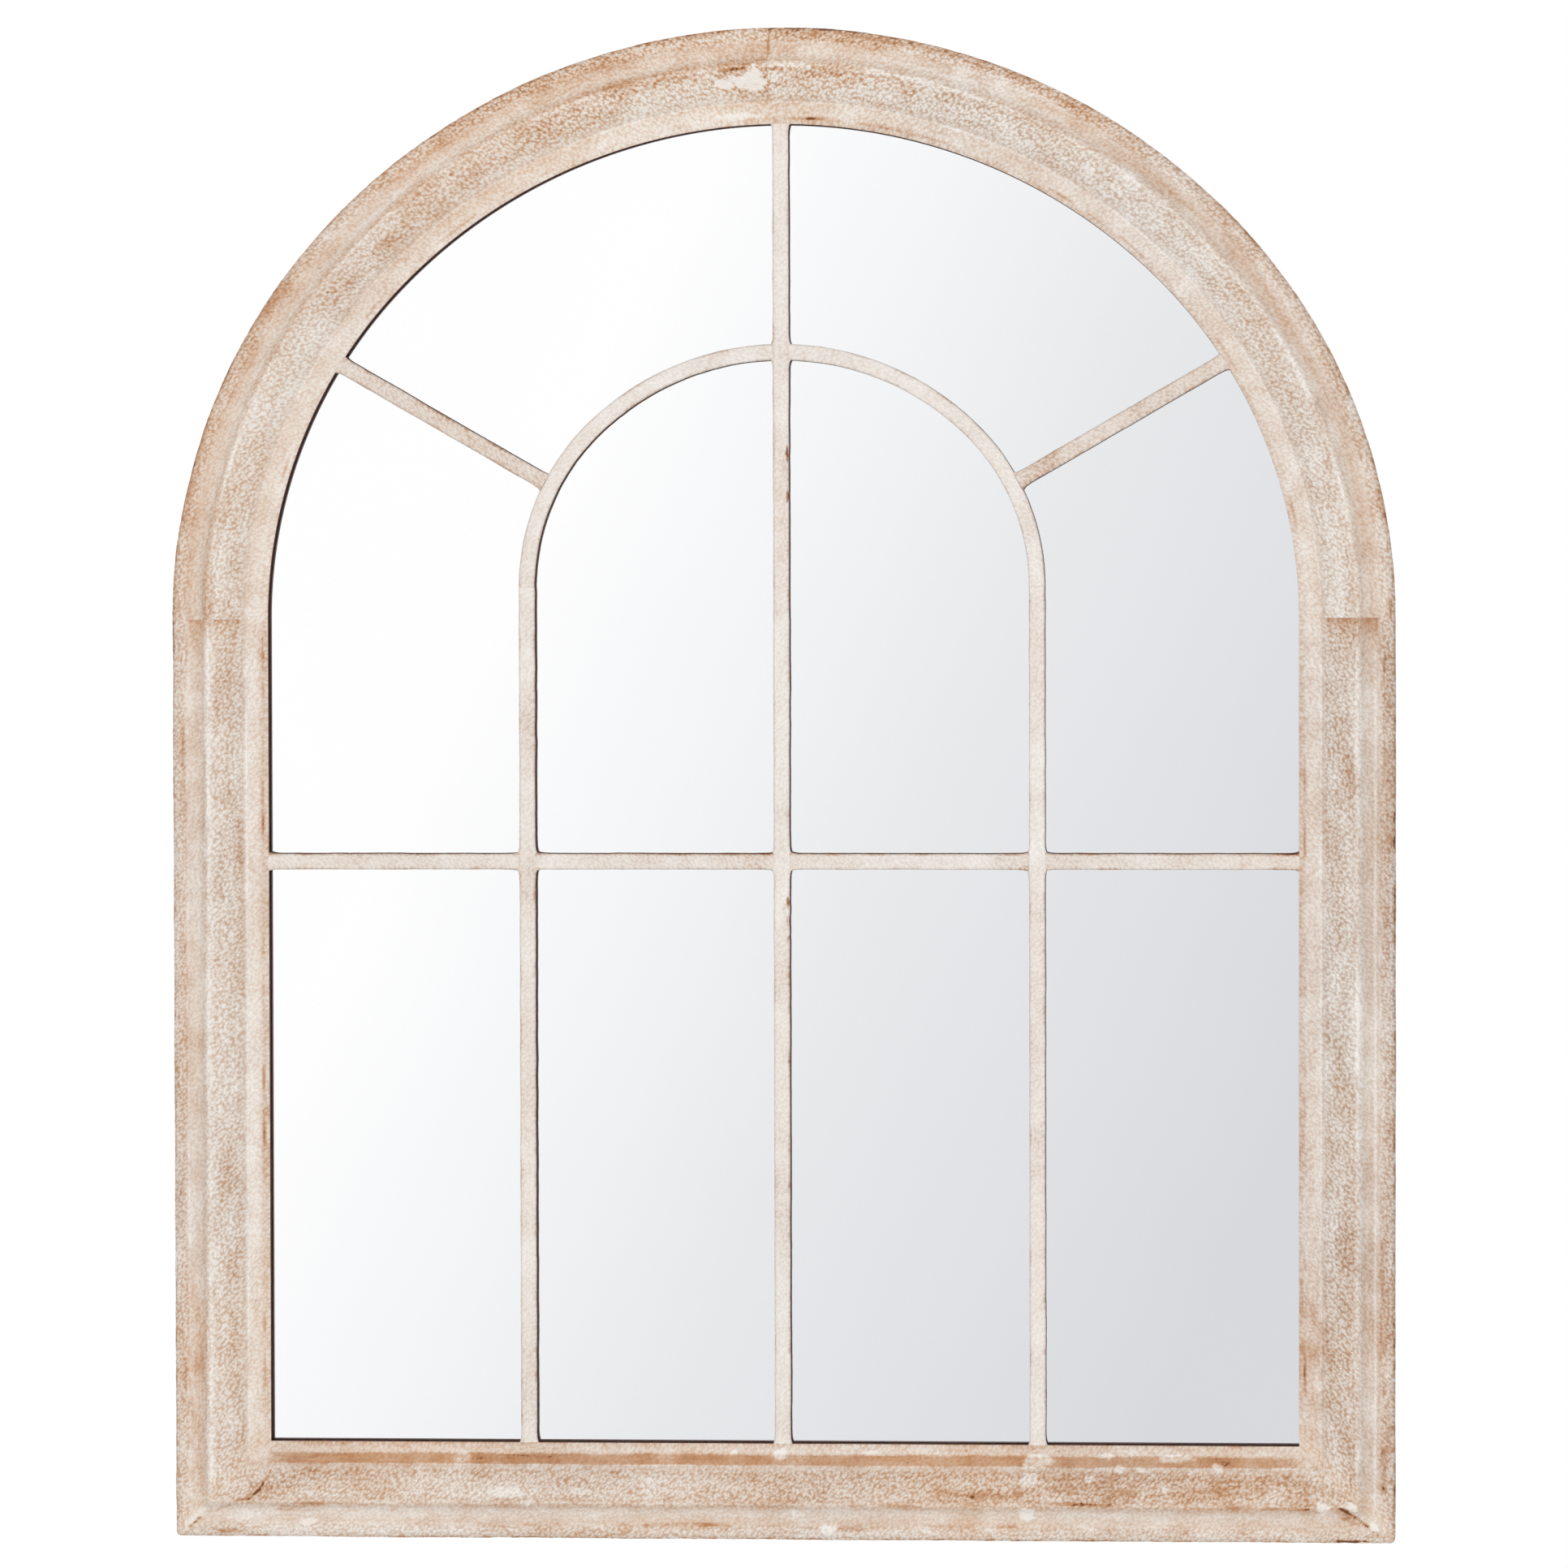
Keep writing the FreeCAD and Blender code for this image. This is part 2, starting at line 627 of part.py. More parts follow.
def hanger_screw_points():
    """Places of the left hanger's screws on the back of the frame."""
    return [at(strap_x(), 0.0, EYE_HEIGHT - drop) for drop in HANGER_SCREW_DROPS]


def hanger_screw_holes(clearance, depth):
    """Holes for the left hanger's screws, through the strap and into the stile."""
    radius = HANGER_SCREW_DIAMETER / 2.0 + clearance
    before = STRAP_THICKNESS + 1.0
    starts = [point.sub(FORWARD * before) for point in hanger_screw_points()]
    return [Part.makeCylinder(radius, before + depth, start, FORWARD) for start in starts]


def hanger_screws():
    """The screws of both hangers."""
    pattern = screw(
        HANGER_SCREW_DIAMETER,
        HANGER_SCREW_HEAD_DIAMETER,
        HANGER_SCREW_HEAD_HEIGHT,
        STRAP_THICKNESS + HANGER_SCREW_BITE,
    )
    seat = FORWARD * STRAP_THICKNESS
    left = [moved(pattern, point.sub(seat)) for point in hanger_screw_points()]
    return Part.makeCompound(left + [mirrored(one) for one in left])


def hanger_strap():
    """Left hanger strap: a flat tail with a rounded foot, rolled into an eye at its top."""
    x = strap_x()
    half = STRAP_WIDTH / 2.0
    foot = EYE_HEIGHT - STRAP_LENGTH + half
    tail = block(x - half, x + half, -STRAP_THICKNESS, 0.0, foot, EYE_HEIGHT)
    end = Part.makeCylinder(half, STRAP_THICKNESS, at(x, -STRAP_THICKNESS, foot), FORWARD)
    centre = at(x - half, -EYE_RADIUS, EYE_HEIGHT)
    roll = Part.makeCylinder(EYE_RADIUS, STRAP_WIDTH, centre, ACROSS)
    bore = Part.makeCylinder(EYE_BORE_RADIUS, STRAP_WIDTH, centre, ACROSS)
    strap = tail.fuse([end, roll]).cut([bore] + hanger_screw_holes(SCREW_CLEARANCE, STRAP_THICKNESS))
    return strap.removeSplitter()


def hanger_ring():
    """Left hanging ring: round wire bent to a D, its straight leg running in the strap's eye."""
    x = strap_x()
    half = RING_WIDTH / 2.0
    corner = RING_CORNER_RADIUS
    share = corner * (1.0 - math.sqrt(0.5))

    def place(across, up):
        return at(x + across, -EYE_RADIUS, EYE_HEIGHT + up)

    shoulder = RING_LENGTH - half
    edges = [
        line(place(0.0, 0.0), place(half - corner, 0.0)),
        arc(place(half - corner, 0.0), place(half - share, share), place(half, corner)),
        line(place(half, corner), place(half, shoulder)),
        arc(place(half, shoulder), place(0.0, RING_LENGTH), place(-half, shoulder)),
        line(place(-half, shoulder), place(-half, corner)),
        arc(place(-half, corner), place(-half + share, share), place(-half + corner, 0.0)),
        line(place(-half + corner, 0.0), place(0.0, 0.0)),
    ]
    section = Part.Wire([Part.Circle(place(0.0, 0.0), ACROSS, WIRE_RADIUS).toShape()])
    ring = Part.Wire(edges).makePipeShell([section], True, True)
    ring.rotate(at(x, -EYE_RADIUS, EYE_HEIGHT), ACROSS, RING_LEAN)
    return ring


def bumper_points():
    """Places of the bumpers on the back of the frame: two on the left stile and arch, and their pair."""
    low = at(-(HALF_WIDTH - BUMPER_INSET), 0.0, BUMPER_LOW_HEIGHT)
    high = FRAME_ARCH.crown_point(math.radians(BUMPER_HIGH_ANGLE), BUMPER_INSET)
    return [low, high]


def wall_bumpers():
    """Soft pads between the frame and the wall."""
    pads = []
    for point in bumper_points():
        pad = Part.makeCylinder(BUMPER_DIAMETER / 2.0, BUMPER_THICKNESS, point, DEPTH_AXIS)
        rim = [edge for edge in pad.Edges if edge.Length > 1.0 and abs(edge.CenterOfMass.y) < 0.01]
        rounded = pad.makeFillet(BUMPER_ROUND, rim)
        pads += [rounded, mirrored(rounded)]
    return Part.makeCompound(pads)


def frame_waste():
    """Everything cut into the frame for pieces set in it, both sides together."""
    biscuit_slot = biscuit_blank(BISCUIT_CLEARANCE)
    spring_holes = dowel_holes(spring_middles(), UP)
    strap_holes = hanger_screw_holes(SCREW_CLEARANCE, HANGER_SCREW_BITE + 0.5)
    both = [biscuit_slot] + spring_holes + strap_holes
    both += [mirrored(one) for one in both]
    return both + dowel_holes(crown_middles(), ACROSS) + tongue_notches() + panel_screw_holes()


def without(shape, waste):
    """A frame member less the waste that reaches into it."""
    near = [one for one in waste if one.BoundBox.intersect(shape.BoundBox)]
    return shape.cut(near)


def stile(waste):
    """Left stile, mitred at the foot and square at the spring line."""
    blank = stile_section(0.0).extrude(UP * SPRING_HEIGHT)
    reach = FACE_WIDTH + 1.0
    x = -HALF_WIDTH
    mitre = prism([(x, 0.0), (x + reach, reach), (x + reach, -1.0), (x - 1.0, -1.0)])
    return without(blank.cut([mitre, corner_waste()]), waste)


def bottom_rail(waste):
    """Bottom rail, mitred at both ends."""
    blank = rail_section(-HALF_WIDTH).extrude(ACROSS * OVERALL_WIDTH)
    reach = FACE_WIDTH + 1.0
    x = -HALF_WIDTH
    mitre = prism([(x, 0.0), (x + reach, reach), (x - 1.0, reach), (x - 1.0, 0.0)])
    ends = [mitre, corner_waste()]
    return without(blank.cut(ends + [mirrored(one) for one in ends]), waste)


def arch_halves(waste):
    """The two parts of the moulded head, square at the spring lines and at the crown joint."""
    half = FRAME_ARCH.left_half(stile_section(SPRING_HEIGHT))
    whole = half.fuse(mirrored(half)).removeSplitter()
    far = OVERALL_WIDTH
    left_of_joint = block(-far, CROWN_JOINT_X, -1.0, RIDGE_FRONT + 1.0, 0.0, OVERALL_HEIGHT + 1.0)
    return without(whole.common(left_of_joint), waste), without(whole.cut(left_of_joint), waste)


def paired_pieces(waste):
    """Left-hand pieces that have a mirrored right-hand twin."""
    return {
        "stile": stile(waste),
        "spring_dowels": dowels(spring_middles(), UP),
        "mitre_biscuit": biscuit_blank(0.0),
        "upright_bar": upright_bar(),
        "inner_arch": inner_arch(),
        "radial_bar": radial_bar(),
        "hanger_strap": hanger_strap(),
        "hanger_ring": hanger_ring(),
    }


def all_pieces():
    """Every named piece of the mirror."""
    waste = frame_waste()
    left_arch, right_arch = arch_halves(waste)
    pieces = {
        "bottom_rail": bottom_rail(waste),
        "left_arch": left_arch,
        "right_arch": right_arch,
        "crown_dowels": dowels(crown_middles(), ACROSS),
        "centre_bar": centre_bar(),
        "cross_bar": cross_bar(),
        "mirror_glass": mirror_glass(),
        "silver_coat": silver_coat(),
        "packing_sheet": packing_sheet(),
        "back_panel": back_panel(),
        "back_panel_screws": panel_screws(),
        "hanger_screws": hanger_screws(),
        "wall_bumpers": wall_bumpers(),
    }
    for name, shape in paired_pieces(waste).items():
        pieces["left_" + name] = shape
        pieces["right_" + name] = mirrored(shape)
    return pieces


os.makedirs("parts", exist_ok=True)
for name, shape in all_pieces().items():
    shape.exportStep("parts/" + name + ".step")
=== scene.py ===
"""Arched window-pane wall mirror: a limewashed timber frame and glazing bars over one pane.

The frame of the part is kept: +X to the viewer's right, +Y into the wall, +Z up, in metres.
"""

import logging
import math
from dataclasses import dataclass, field
from enum import Enum, IntEnum

import bmesh
import bpy
import numpy as np
from mathutils import Matrix, Quaternion, Vector, noise


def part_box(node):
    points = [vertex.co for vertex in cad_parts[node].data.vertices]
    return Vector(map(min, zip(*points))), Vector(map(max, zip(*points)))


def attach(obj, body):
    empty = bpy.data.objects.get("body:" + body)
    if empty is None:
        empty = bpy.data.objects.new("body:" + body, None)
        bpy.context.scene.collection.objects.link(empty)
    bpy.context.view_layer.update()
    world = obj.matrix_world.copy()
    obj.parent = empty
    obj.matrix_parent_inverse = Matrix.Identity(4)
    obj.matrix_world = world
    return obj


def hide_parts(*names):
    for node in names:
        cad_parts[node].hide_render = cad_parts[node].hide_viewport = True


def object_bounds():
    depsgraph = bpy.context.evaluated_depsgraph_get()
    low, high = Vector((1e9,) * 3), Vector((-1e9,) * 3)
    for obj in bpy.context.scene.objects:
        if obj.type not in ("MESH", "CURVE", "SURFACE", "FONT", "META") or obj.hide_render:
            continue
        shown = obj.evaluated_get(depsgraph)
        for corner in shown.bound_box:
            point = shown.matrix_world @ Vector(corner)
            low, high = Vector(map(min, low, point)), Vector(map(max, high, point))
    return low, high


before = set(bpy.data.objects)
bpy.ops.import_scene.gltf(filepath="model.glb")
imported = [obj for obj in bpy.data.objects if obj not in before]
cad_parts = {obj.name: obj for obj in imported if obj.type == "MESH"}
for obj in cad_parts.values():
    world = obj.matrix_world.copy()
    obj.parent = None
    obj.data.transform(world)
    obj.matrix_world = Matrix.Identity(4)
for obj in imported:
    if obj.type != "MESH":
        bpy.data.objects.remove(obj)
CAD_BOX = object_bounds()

LOG = logging.getLogger("wall_mirror")

MM = 0.001
FRAME_BODY = "frame"
GRAIN_MAP = "grain"
WEAR = "wear"
GRIT = "grit"
WARMTH = "warmth"

Point2 = tuple[float, float]
Point3 = tuple[float, float, float]
# Inset across a section in millimetres, and a value there
Band = tuple[float, float]


class Side(Enum):
    """Hand of a piece as the viewer sees it; the value is the sign of its X."""

    LEFT = -1
    RIGHT = 1


class Coat(IntEnum):
    """Material slots of a painted timber piece."""

    LIMEWASH = 0
    RETURN = 1
    BARE = 2


# Helpers for materials


def to_linear(colour: str) -> tuple[float, float, float, float]:
    """Turn an sRGB hex colour into linear light.

    Args:
        colour: the colour as #RRGGBB.

    Returns:
        Linear red, green, blue and an alpha of one.
    """
    parts = [int(colour[i : i + 2], 16) / 255 for i in (1, 3, 5)]
    red, green, blue = (p / 12.92 if p <= 0.04045 else ((p + 0.055) / 1.055) ** 2.4 for p in parts)
    return red, green, blue, 1.0


def add_node(
    tree: bpy.types.NodeTree,
    kind: str,
    settings: dict[str | int, object] | None = None,
    links: dict[str | int, bpy.types.NodeSocket] | None = None,
) -> bpy.types.Node:
    """Add a shader node with its settings and links.

    Args:
        tree: the node tree that takes the node.
        kind: the node's type without its ShaderNode prefix.
        settings: values by socket name or number, or by property name; stops fills a colour ramp.
        links: output sockets by the name or number of the input they feed.

    Returns:
        The new node.
    """
    node = tree.nodes.new("ShaderNode" + kind)
    for key, value in (settings or {}).items():
        if key == "stops":
            ramp = node.color_ramp.elements
            while len(ramp) < len(value):
                ramp.new(1.0)
            for element, (place, colour) in zip(ramp, value):
                element.position, element.color = place, to_linear(colour)
        elif isinstance(key, int) or key in node.inputs:
            node.inputs[key].default_value = value
        else:
            setattr(node, key, value)
    for key, socket in (links or {}).items():
        tree.links.new(socket, node.inputs[key])
    return node


# Finishes


@dataclass(frozen=True)
class Finish:
    """A surface named for what the real one is made of."""

    name: str

    def material(self) -> bpy.types.Material:
        """Give the finish's material, made on first use.

        Returns:
            The material.
        """
        made = bpy.data.materials.get(self.name)
        if made is None:
            made = bpy.data.materials.new(self.name)
            made.use_nodes = True
            self.mix(made.node_tree, made.node_tree.nodes["Principled BSDF"])
        return made

    def mix(self, tree: bpy.types.NodeTree, shader: bpy.types.Node) -> None:
        """Wire the finish's nodes to its shader.

        Args:
            tree: the material's node tree.
            shader: its Principled BSDF.
        """
        raise NotImplementedError


@dataclass(frozen=True)
class LimewashedPine(Finish):
    """Cream limewash stippled over tan-stained pine and rubbed back.

    The eye sees a chalky cream skin of fine rounded dabs with stain between them, faint brush
    streaks along the timber, soft clouds and a few rusty specks. The darker colour between the
    dabs is partly real stain and partly painted shade of the dab relief.
    """

    tones: tuple[tuple[float, str], ...]
    warm_tones: tuple[tuple[float, str], ...]
    dab_mm: Point2 = (2.1, 1.5)
    dab_lean: float = math.radians(38.0)
    streak_mm: Point2 = (16.0, 1.3)
    cloud_mm: float = 9.0
    dabs: float = 0.52
    dab_rise: Point2 = (0.48, 0.96)
    pebble_share: float = 0.5
    hollow_share: float = 0.6
    skin_mm: float = 0.22
    streak: float = 0.22
    cloud: float = 0.3
    specks: float = 0.04
    speck_mm: float = 11.0
    speck_rim: float = 0.05
    speck_wear: Point2 = (0.3, 0.75)
    rust: str = "#A66F4E"
    roughness: float = 0.82
    polish: float = 0.22
    polish_wear: Point2 = (0.2, 1.0)

    def mix(self, tree: bpy.types.NodeTree, shader: bpy.types.Node) -> None:
        """Wire stain showing through limewash.

        Args:
            tree: the material's node tree.
            shader: its Principled BSDF.
        """
        place = add_node(tree, "TexCoord").outputs["Object"]
        run = add_node(tree, "UVMap", {"uv_map": GRAIN_MAP}).outputs["UV"]
        wear = add_node(tree, "Attribute", {"attribute_name": WEAR}).outputs["Fac"]
        grit = add_node(tree, "Attribute", {"attribute_name": GRIT}).outputs["Fac"]
        length, width = self.dab_mm
        slanted = add_node(
            tree,
            "Mapping",
            {
                "vector_type": "TEXTURE",
                "Rotation": (0.0, 0.0, self.dab_lean),
                "Scale": (length * MM, width * MM, 1.0),
            },
            {"Vector": run},
        ).outputs["Vector"]
        stroke = add_node(
            tree, "TexNoise", {"Scale": 0.9, "Detail": 2.0, "Roughness": 0.6}, {"Vector": slanted}
        ).outputs["Fac"]
        pebble = add_node(
            tree, "TexVoronoi", {"voronoi_dimensions": "2D", "Scale": 1.0}, {"Vector": slanted}
        ).outputs["Distance"]
        pressed = add_node(
            tree, "Math", {"operation": "MULTIPLY_ADD", 1: self.pebble_share}, {0: pebble, 2: stroke}
        ).outputs[0]
        dab = add_node(
            tree,
            "MapRange",
            {
                "interpolation_type": "SMOOTHSTEP",
                "From Min": self.dab_rise[0],
                "From Max": self.dab_rise[1],
            },
            {"Value": pressed},
        ).outputs["Result"]
        blotch = add_node(
            tree,
            "TexNoise",
            {"Scale": 1 / (self.cloud_mm * MM), "Detail": 3.0, "Roughness": 0.55},
            {"Vector": place},
        ).outputs["Fac"]
        length, width = self.streak_mm
        drawn = add_node(
            tree,
            "Mapping",
            {"Scale": (1 / (length * MM), 1 / (width * MM), 1.0)},
            {"Vector": run},
        ).outputs["Vector"]
        brush = add_node(
            tree, "TexNoise", {"Scale": 1.0, "Detail": 2.0, "Roughness": 0.5}, {"Vector": drawn}
        ).outputs["Fac"]
        # The dabs darken the paint between them: stain showing in the hollows, and painted shade of the dab
        # relief that the soft light would not give.
        strength = add_node(
            tree, "Math", {"operation": "MULTIPLY", 1: self.dabs}, {0: grit}
        ).outputs[0]
        uneven = add_node(tree, "Math", {"operation": "SUBTRACT", 1: 0.5}, {0: dab}).outputs[0]
        shown = add_node(
            tree, "Math", {"operation": "MULTIPLY_ADD"}, {0: uneven, 1: strength, 2: wear}
        ).outputs[0]
        for value, share in ((blotch, self.cloud), (brush, self.streak)):
            centred = add_node(
                tree, "Math", {"operation": "SUBTRACT", 1: 0.5}, {0: value}
            ).outputs[0]
            shown = add_node(
                tree, "Math", {"operation": "MULTIPLY_ADD", 1: share}, {0: centred, 2: shown}
            ).outputs[0]
        cool = add_node(tree, "ValToRGB", {"stops": self.tones}, {"Fac": shown}).outputs["Color"]
        warm = add_node(tree, "ValToRGB", {"stops": self.warm_tones}, {"Fac": shown}).outputs["Color"]
        warmth = add_node(tree, "Attribute", {"attribute_name": WARMTH}).outputs["Fac"]
        paint = add_node(
            tree, "Mix", {"data_type": "RGBA"}, {0: warmth, 6: cool, 7: warm}
        ).outputs[2]
        # Specks of rusty stain about 1.5 mm across, a finger's breadth apart, thicker where worn.
        cells = add_node(
            tree,
            "TexVoronoi",
            {"Scale": 1 / (self.speck_mm * MM), "Randomness": 1.0},
            {"Vector": place},
        ).outputs["Distance"]
        near = add_node(
            tree,
            "MapRange",
            {
                "From Min": self.specks,
                "From Max": self.specks + self.speck_rim,
                "To Min": 1.0,
                "To Max": 0.0,
            },
            {"Value": cells},
        ).outputs["Result"]
        worn = add_node(
            tree,
            "MapRange",
            {"From Min": self.speck_wear[0], "From Max": self.speck_wear[1]},
            {"Value": shown},
        ).outputs["Result"]
        speck = add_node(tree, "Math", {"operation": "MULTIPLY"}, {0: near, 1: worn}).outputs[0]
        colour = add_node(
            tree,
            "Mix",
            {"data_type": "RGBA", 7: to_linear(self.rust)},
            {0: speck, 6: paint},
        ).outputs[2]
        rough = add_node(
            tree,
            "MapRange",
            {
                "From Min": self.polish_wear[0],
                "From Max": self.polish_wear[1],
                "To Min": self.roughness,
                "To Max": self.roughness - self.polish,
            },
            {"Value": shown},
        ).outputs["Result"]
        # Stain lies low between the dabs and where the paint is rubbed away.
        hollow = add_node(
            tree, "Math", {"operation": "MULTIPLY_ADD", 1: self.hollow_share}, {0: shown, 2: dab}
        ).outputs[0]
        skin = add_node(
            tree,
            "Bump",
            {"invert": True, "Strength": 0.6, "Distance": self.skin_mm * MM},
            {"Height": hollow},
        ).outputs["Normal"]
        tree.links.new(colour, shader.inputs["Base Color"])
        tree.links.new(rough, shader.inputs["Roughness"])
        tree.links.new(skin, shader.inputs["Normal"])
        shader.inputs["Specular IOR Level"].default_value = 0.25


@dataclass(frozen=True)
class GrainedTimber(Finish):
    """Timber with long growth streaks: bare or stained, planed, slightly rough.

    The eye sees darker lines drawn out along the length and a faint lengthwise ribbing.
    """

    light: str
    dark: str
    ring_mm: float = 3.0
    streak_mm: float = 90.0
    roughness: float = 0.7
    follows_uv: bool = True
    rib_mm: float = 0.2

    def mix(self, tree: bpy.types.NodeTree, shader: bpy.types.Node) -> None:
        """Wire growth streaks along the timber.

        Args:
            tree: the material's node tree.
            shader: its Principled BSDF.
        """
        if self.follows_uv:
            run = add_node(tree, "UVMap", {"uv_map": GRAIN_MAP}).outputs["UV"]
        else:
            run = add_node(tree, "TexCoord").outputs["Object"]
        drawn = add_node(
            tree,
            "Mapping",
            {"Scale": (1 / (self.streak_mm * MM), 1 / (self.ring_mm * MM), 1 / (self.ring_mm * MM))},
            {"Vector": run},
        ).outputs["Vector"]
        rings = add_node(
            tree,
            "TexNoise",
            {"Scale": 1.0, "Detail": 4.0, "Roughness": 0.6, "Distortion": 0.4},
            {"Vector": drawn},
        ).outputs["Fac"]
        colour = add_node(
            tree,
            "ValToRGB",
            {"stops": ((0.32, self.dark), (0.62, self.light))},
            {"Fac": rings},
        ).outputs["Color"]
        ribs = add_node(
            tree, "Bump", {"Strength": 0.35, "Distance": self.rib_mm * MM}, {"Height": rings}
        ).outputs["Normal"]
        tree.links.new(colour, shader.inputs["Base Color"])
        tree.links.new(ribs, shader.inputs["Normal"])
        shader.inputs["Roughness"].default_value = self.roughness
        shader.inputs["Specular IOR Level"].default_value = 0.3


@dataclass(frozen=True)
class PressedBoard(Finish):
    """Board pressed from fibres, as hardboard or grey card.

    The eye sees a fine fleck of fibres about a millimetre long and a faint cloudiness.
    """

    light: str
    dark: str
    fibre_mm: float = 1.6
    roughness: float = 0.75
    dent_mm: float = 0.12
    cloud_mm: float = 70.0
    cloud_share: float = 0.45

    def mix(self, tree: bpy.types.NodeTree, shader: bpy.types.Node) -> None:
        """Wire fibre flecks over a cloudy ground.

        Args:
            tree: the material's node tree.
            shader: its Principled BSDF.
        """
        place = add_node(tree, "TexCoord").outputs["Object"]
        fibres = add_node(
            tree,
            "TexNoise",
            {"Scale": 1 / (self.fibre_mm * MM), "Detail": 3.0, "Roughness": 0.7},
            {"Vector": place},
        ).outputs["Fac"]
        cloud = add_node(
            tree, "TexNoise", {"Scale": 1 / (self.cloud_mm * MM), "Detail": 2.0}, {"Vector": place}
        ).outputs["Fac"]
        both = add_node(
            tree, "Math", {"operation": "MULTIPLY_ADD", 1: self.cloud_share}, {0: cloud, 2: fibres}
        ).outputs[0]
        colour = add_node(
            tree,
            "ValToRGB",
            {"stops": ((0.5, self.dark), (0.95, self.light))},
            {"Fac": both},
        ).outputs["Color"]
        dents = add_node(
            tree, "Bump", {"Strength": 0.4, "Distance": self.dent_mm * MM}, {"Height": fibres}
        ).outputs["Normal"]
        tree.links.new(colour, shader.inputs["Base Color"])
        tree.links.new(dents, shader.inputs["Normal"])
        shader.inputs["Roughness"].default_value = self.roughness


@dataclass(frozen=True)
class ZincPlate(Finish):
    """Bright zinc-plated steel, pressed or drawn.

    The eye sees a pale bluish grey metal with soft cloudy gloss.
    """

    light: str = "#C9CED1"
    dark: str = "#A9AFB3"
    cloud_mm: float = 2.2
    roughness: Point2 = (0.25, 0.45)

    def mix(self, tree: bpy.types.NodeTree, shader: bpy.types.Node) -> None:
        """Wire cloudy plating.

        Args:
            tree: the material's node tree.
            shader: its Principled BSDF.
        """
        place = add_node(tree, "TexCoord").outputs["Object"]
        cloud = add_node(
            tree, "TexNoise", {"Scale": 1 / (self.cloud_mm * MM), "Detail": 3.0}, {"Vector": place}
        ).outputs["Fac"]
        colour = add_node(
            tree, "ValToRGB", {"stops": ((0.35, self.dark), (0.65, self.light))}, {"Fac": cloud}
        ).outputs["Color"]
        gloss = add_node(
            tree,
            "MapRange",
            {"To Min": self.roughness[0], "To Max": self.roughness[1]},
            {"Value": cloud},
        ).outputs["Result"]
        tree.links.new(colour, shader.inputs["Base Color"])
        tree.links.new(gloss, shader.inputs["Roughness"])
        shader.inputs["Metallic"].default_value = 1.0


@dataclass(frozen=True)
class MouldedRubber(Finish):
    """Dark moulded rubber with a fine matt skin that catches a little dust."""

    light: str = "#4A4744"
    dark: str = "#2C2A29"
    grain_mm: float = 0.9
    skin_mm: float = 0.08
    roughness: float = 0.85

    def mix(self, tree: bpy.types.NodeTree, shader: bpy.types.Node) -> None:
        """Wire a matt skin with dusty patches.

        Args:
            tree: the material's node tree.
            shader: its Principled BSDF.
        """
        place = add_node(tree, "TexCoord").outputs["Object"]
        grain = add_node(
            tree, "TexNoise", {"Scale": 1 / (self.grain_mm * MM), "Detail": 2.0}, {"Vector": place}
        ).outputs["Fac"]
        colour = add_node(
            tree, "ValToRGB", {"stops": ((0.4, self.dark), (0.75, self.light))}, {"Fac": grain}
        ).outputs["Color"]
        skin = add_node(
            tree, "Bump", {"Strength": 0.3, "Distance": self.skin_mm * MM}, {"Height": grain}
        ).outputs["Normal"]
        tree.links.new(colour, shader.inputs["Base Color"])
        tree.links.new(skin, shader.inputs["Normal"])
        shader.inputs["Roughness"].default_value = self.roughness


@dataclass(frozen=True)
class FloatGlass(Finish):
    """Clear polished float glass: nearly colourless, with the faintest film of dust."""

    tint: str = "#FFFFFF"
    ior: float = 1.52
    film_mm: float = 60.0
    haze: float = 0.012

    def mix(self, tree: bpy.types.NodeTree, shader: bpy.types.Node) -> None:
        """Wire clear glass with a faint film.

        Args:
            tree: the material's node tree.
            shader: its Principled BSDF.
        """
        place = add_node(tree, "TexCoord").outputs["Object"]
        film = add_node(
            tree, "TexNoise", {"Scale": 1 / (self.film_mm * MM), "Detail": 3.0}, {"Vector": place}
        ).outputs["Fac"]
        haze = add_node(
            tree,
            "MapRange",
            {"From Min": 0.45, "From Max": 0.8, "To Min": 0.0, "To Max": self.haze},
            {"Value": film},
        ).outputs["Result"]
        tree.links.new(haze, shader.inputs["Roughness"])
        shader.inputs["Base Color"].default_value = to_linear(self.tint)
        shader.inputs["Transmission Weight"].default_value = 1.0
        shader.inputs["IOR"].default_value = self.ior


@dataclass(frozen=True)
class Silvering(Finish):
    """Silver laid on the back of the pane: a true mirror, very slightly uneven."""

    bright: str = "#FFFFFF"
    dull: str = "#FEFEFE"
    cloud_mm: float = 120.0

    def mix(self, tree: bpy.types.NodeTree, shader: bpy.types.Node) -> None:
        """Wire an almost even mirror.

        Args:
            tree: the material's node tree.
            shader: its Principled BSDF.
        """
        place = add_node(tree, "TexCoord").outputs["Object"]
        cloud = add_node(
            tree, "TexNoise", {"Scale": 1 / (self.cloud_mm * MM), "Detail": 2.0}, {"Vector": place}
        ).outputs["Fac"]
        colour = add_node(
            tree, "ValToRGB", {"stops": ((0.3, self.dull), (0.7, self.bright))}, {"Fac": cloud}
        ).outputs["Color"]
        tree.links.new(colour, shader.inputs["Base Color"])
        shader.inputs["Metallic"].default_value = 1.0
        shader.inputs["Roughness"].default_value = 0.0


# From whole limewash, at nought, to bare dark stain, at one
FRAME_TONES = (
    (0.00, "#F4F0EC"),
    (0.24, "#E6DED7"),
    (0.44, "#D9CBC0"),
    (0.62, "#CBB8AA"),
    (0.80, "#BB9D88"),
    (0.94, "#A8836A"),
    (1.00, "#6A4936"),
)
FRAME_WARM_TONES = (
    (0.00, "#F4EEE7"),
    (0.24, "#E9DCD0"),
    (0.44, "#DFC9B7"),
    (0.62, "#D5B59C"),
    (0.80, "#C79C7A"),
    (0.94, "#B4805A"),
    (1.00, "#74482F"),
)
BAR_TONES = (
    (0.00, "#F4F1EE"),
    (0.25, "#EBE5E0"),
    (0.48, "#DFD5CD"),
    (0.68, "#CBB5A6"),
    (0.86, "#A57F67"),
    (1.00, "#5E4032"),
)
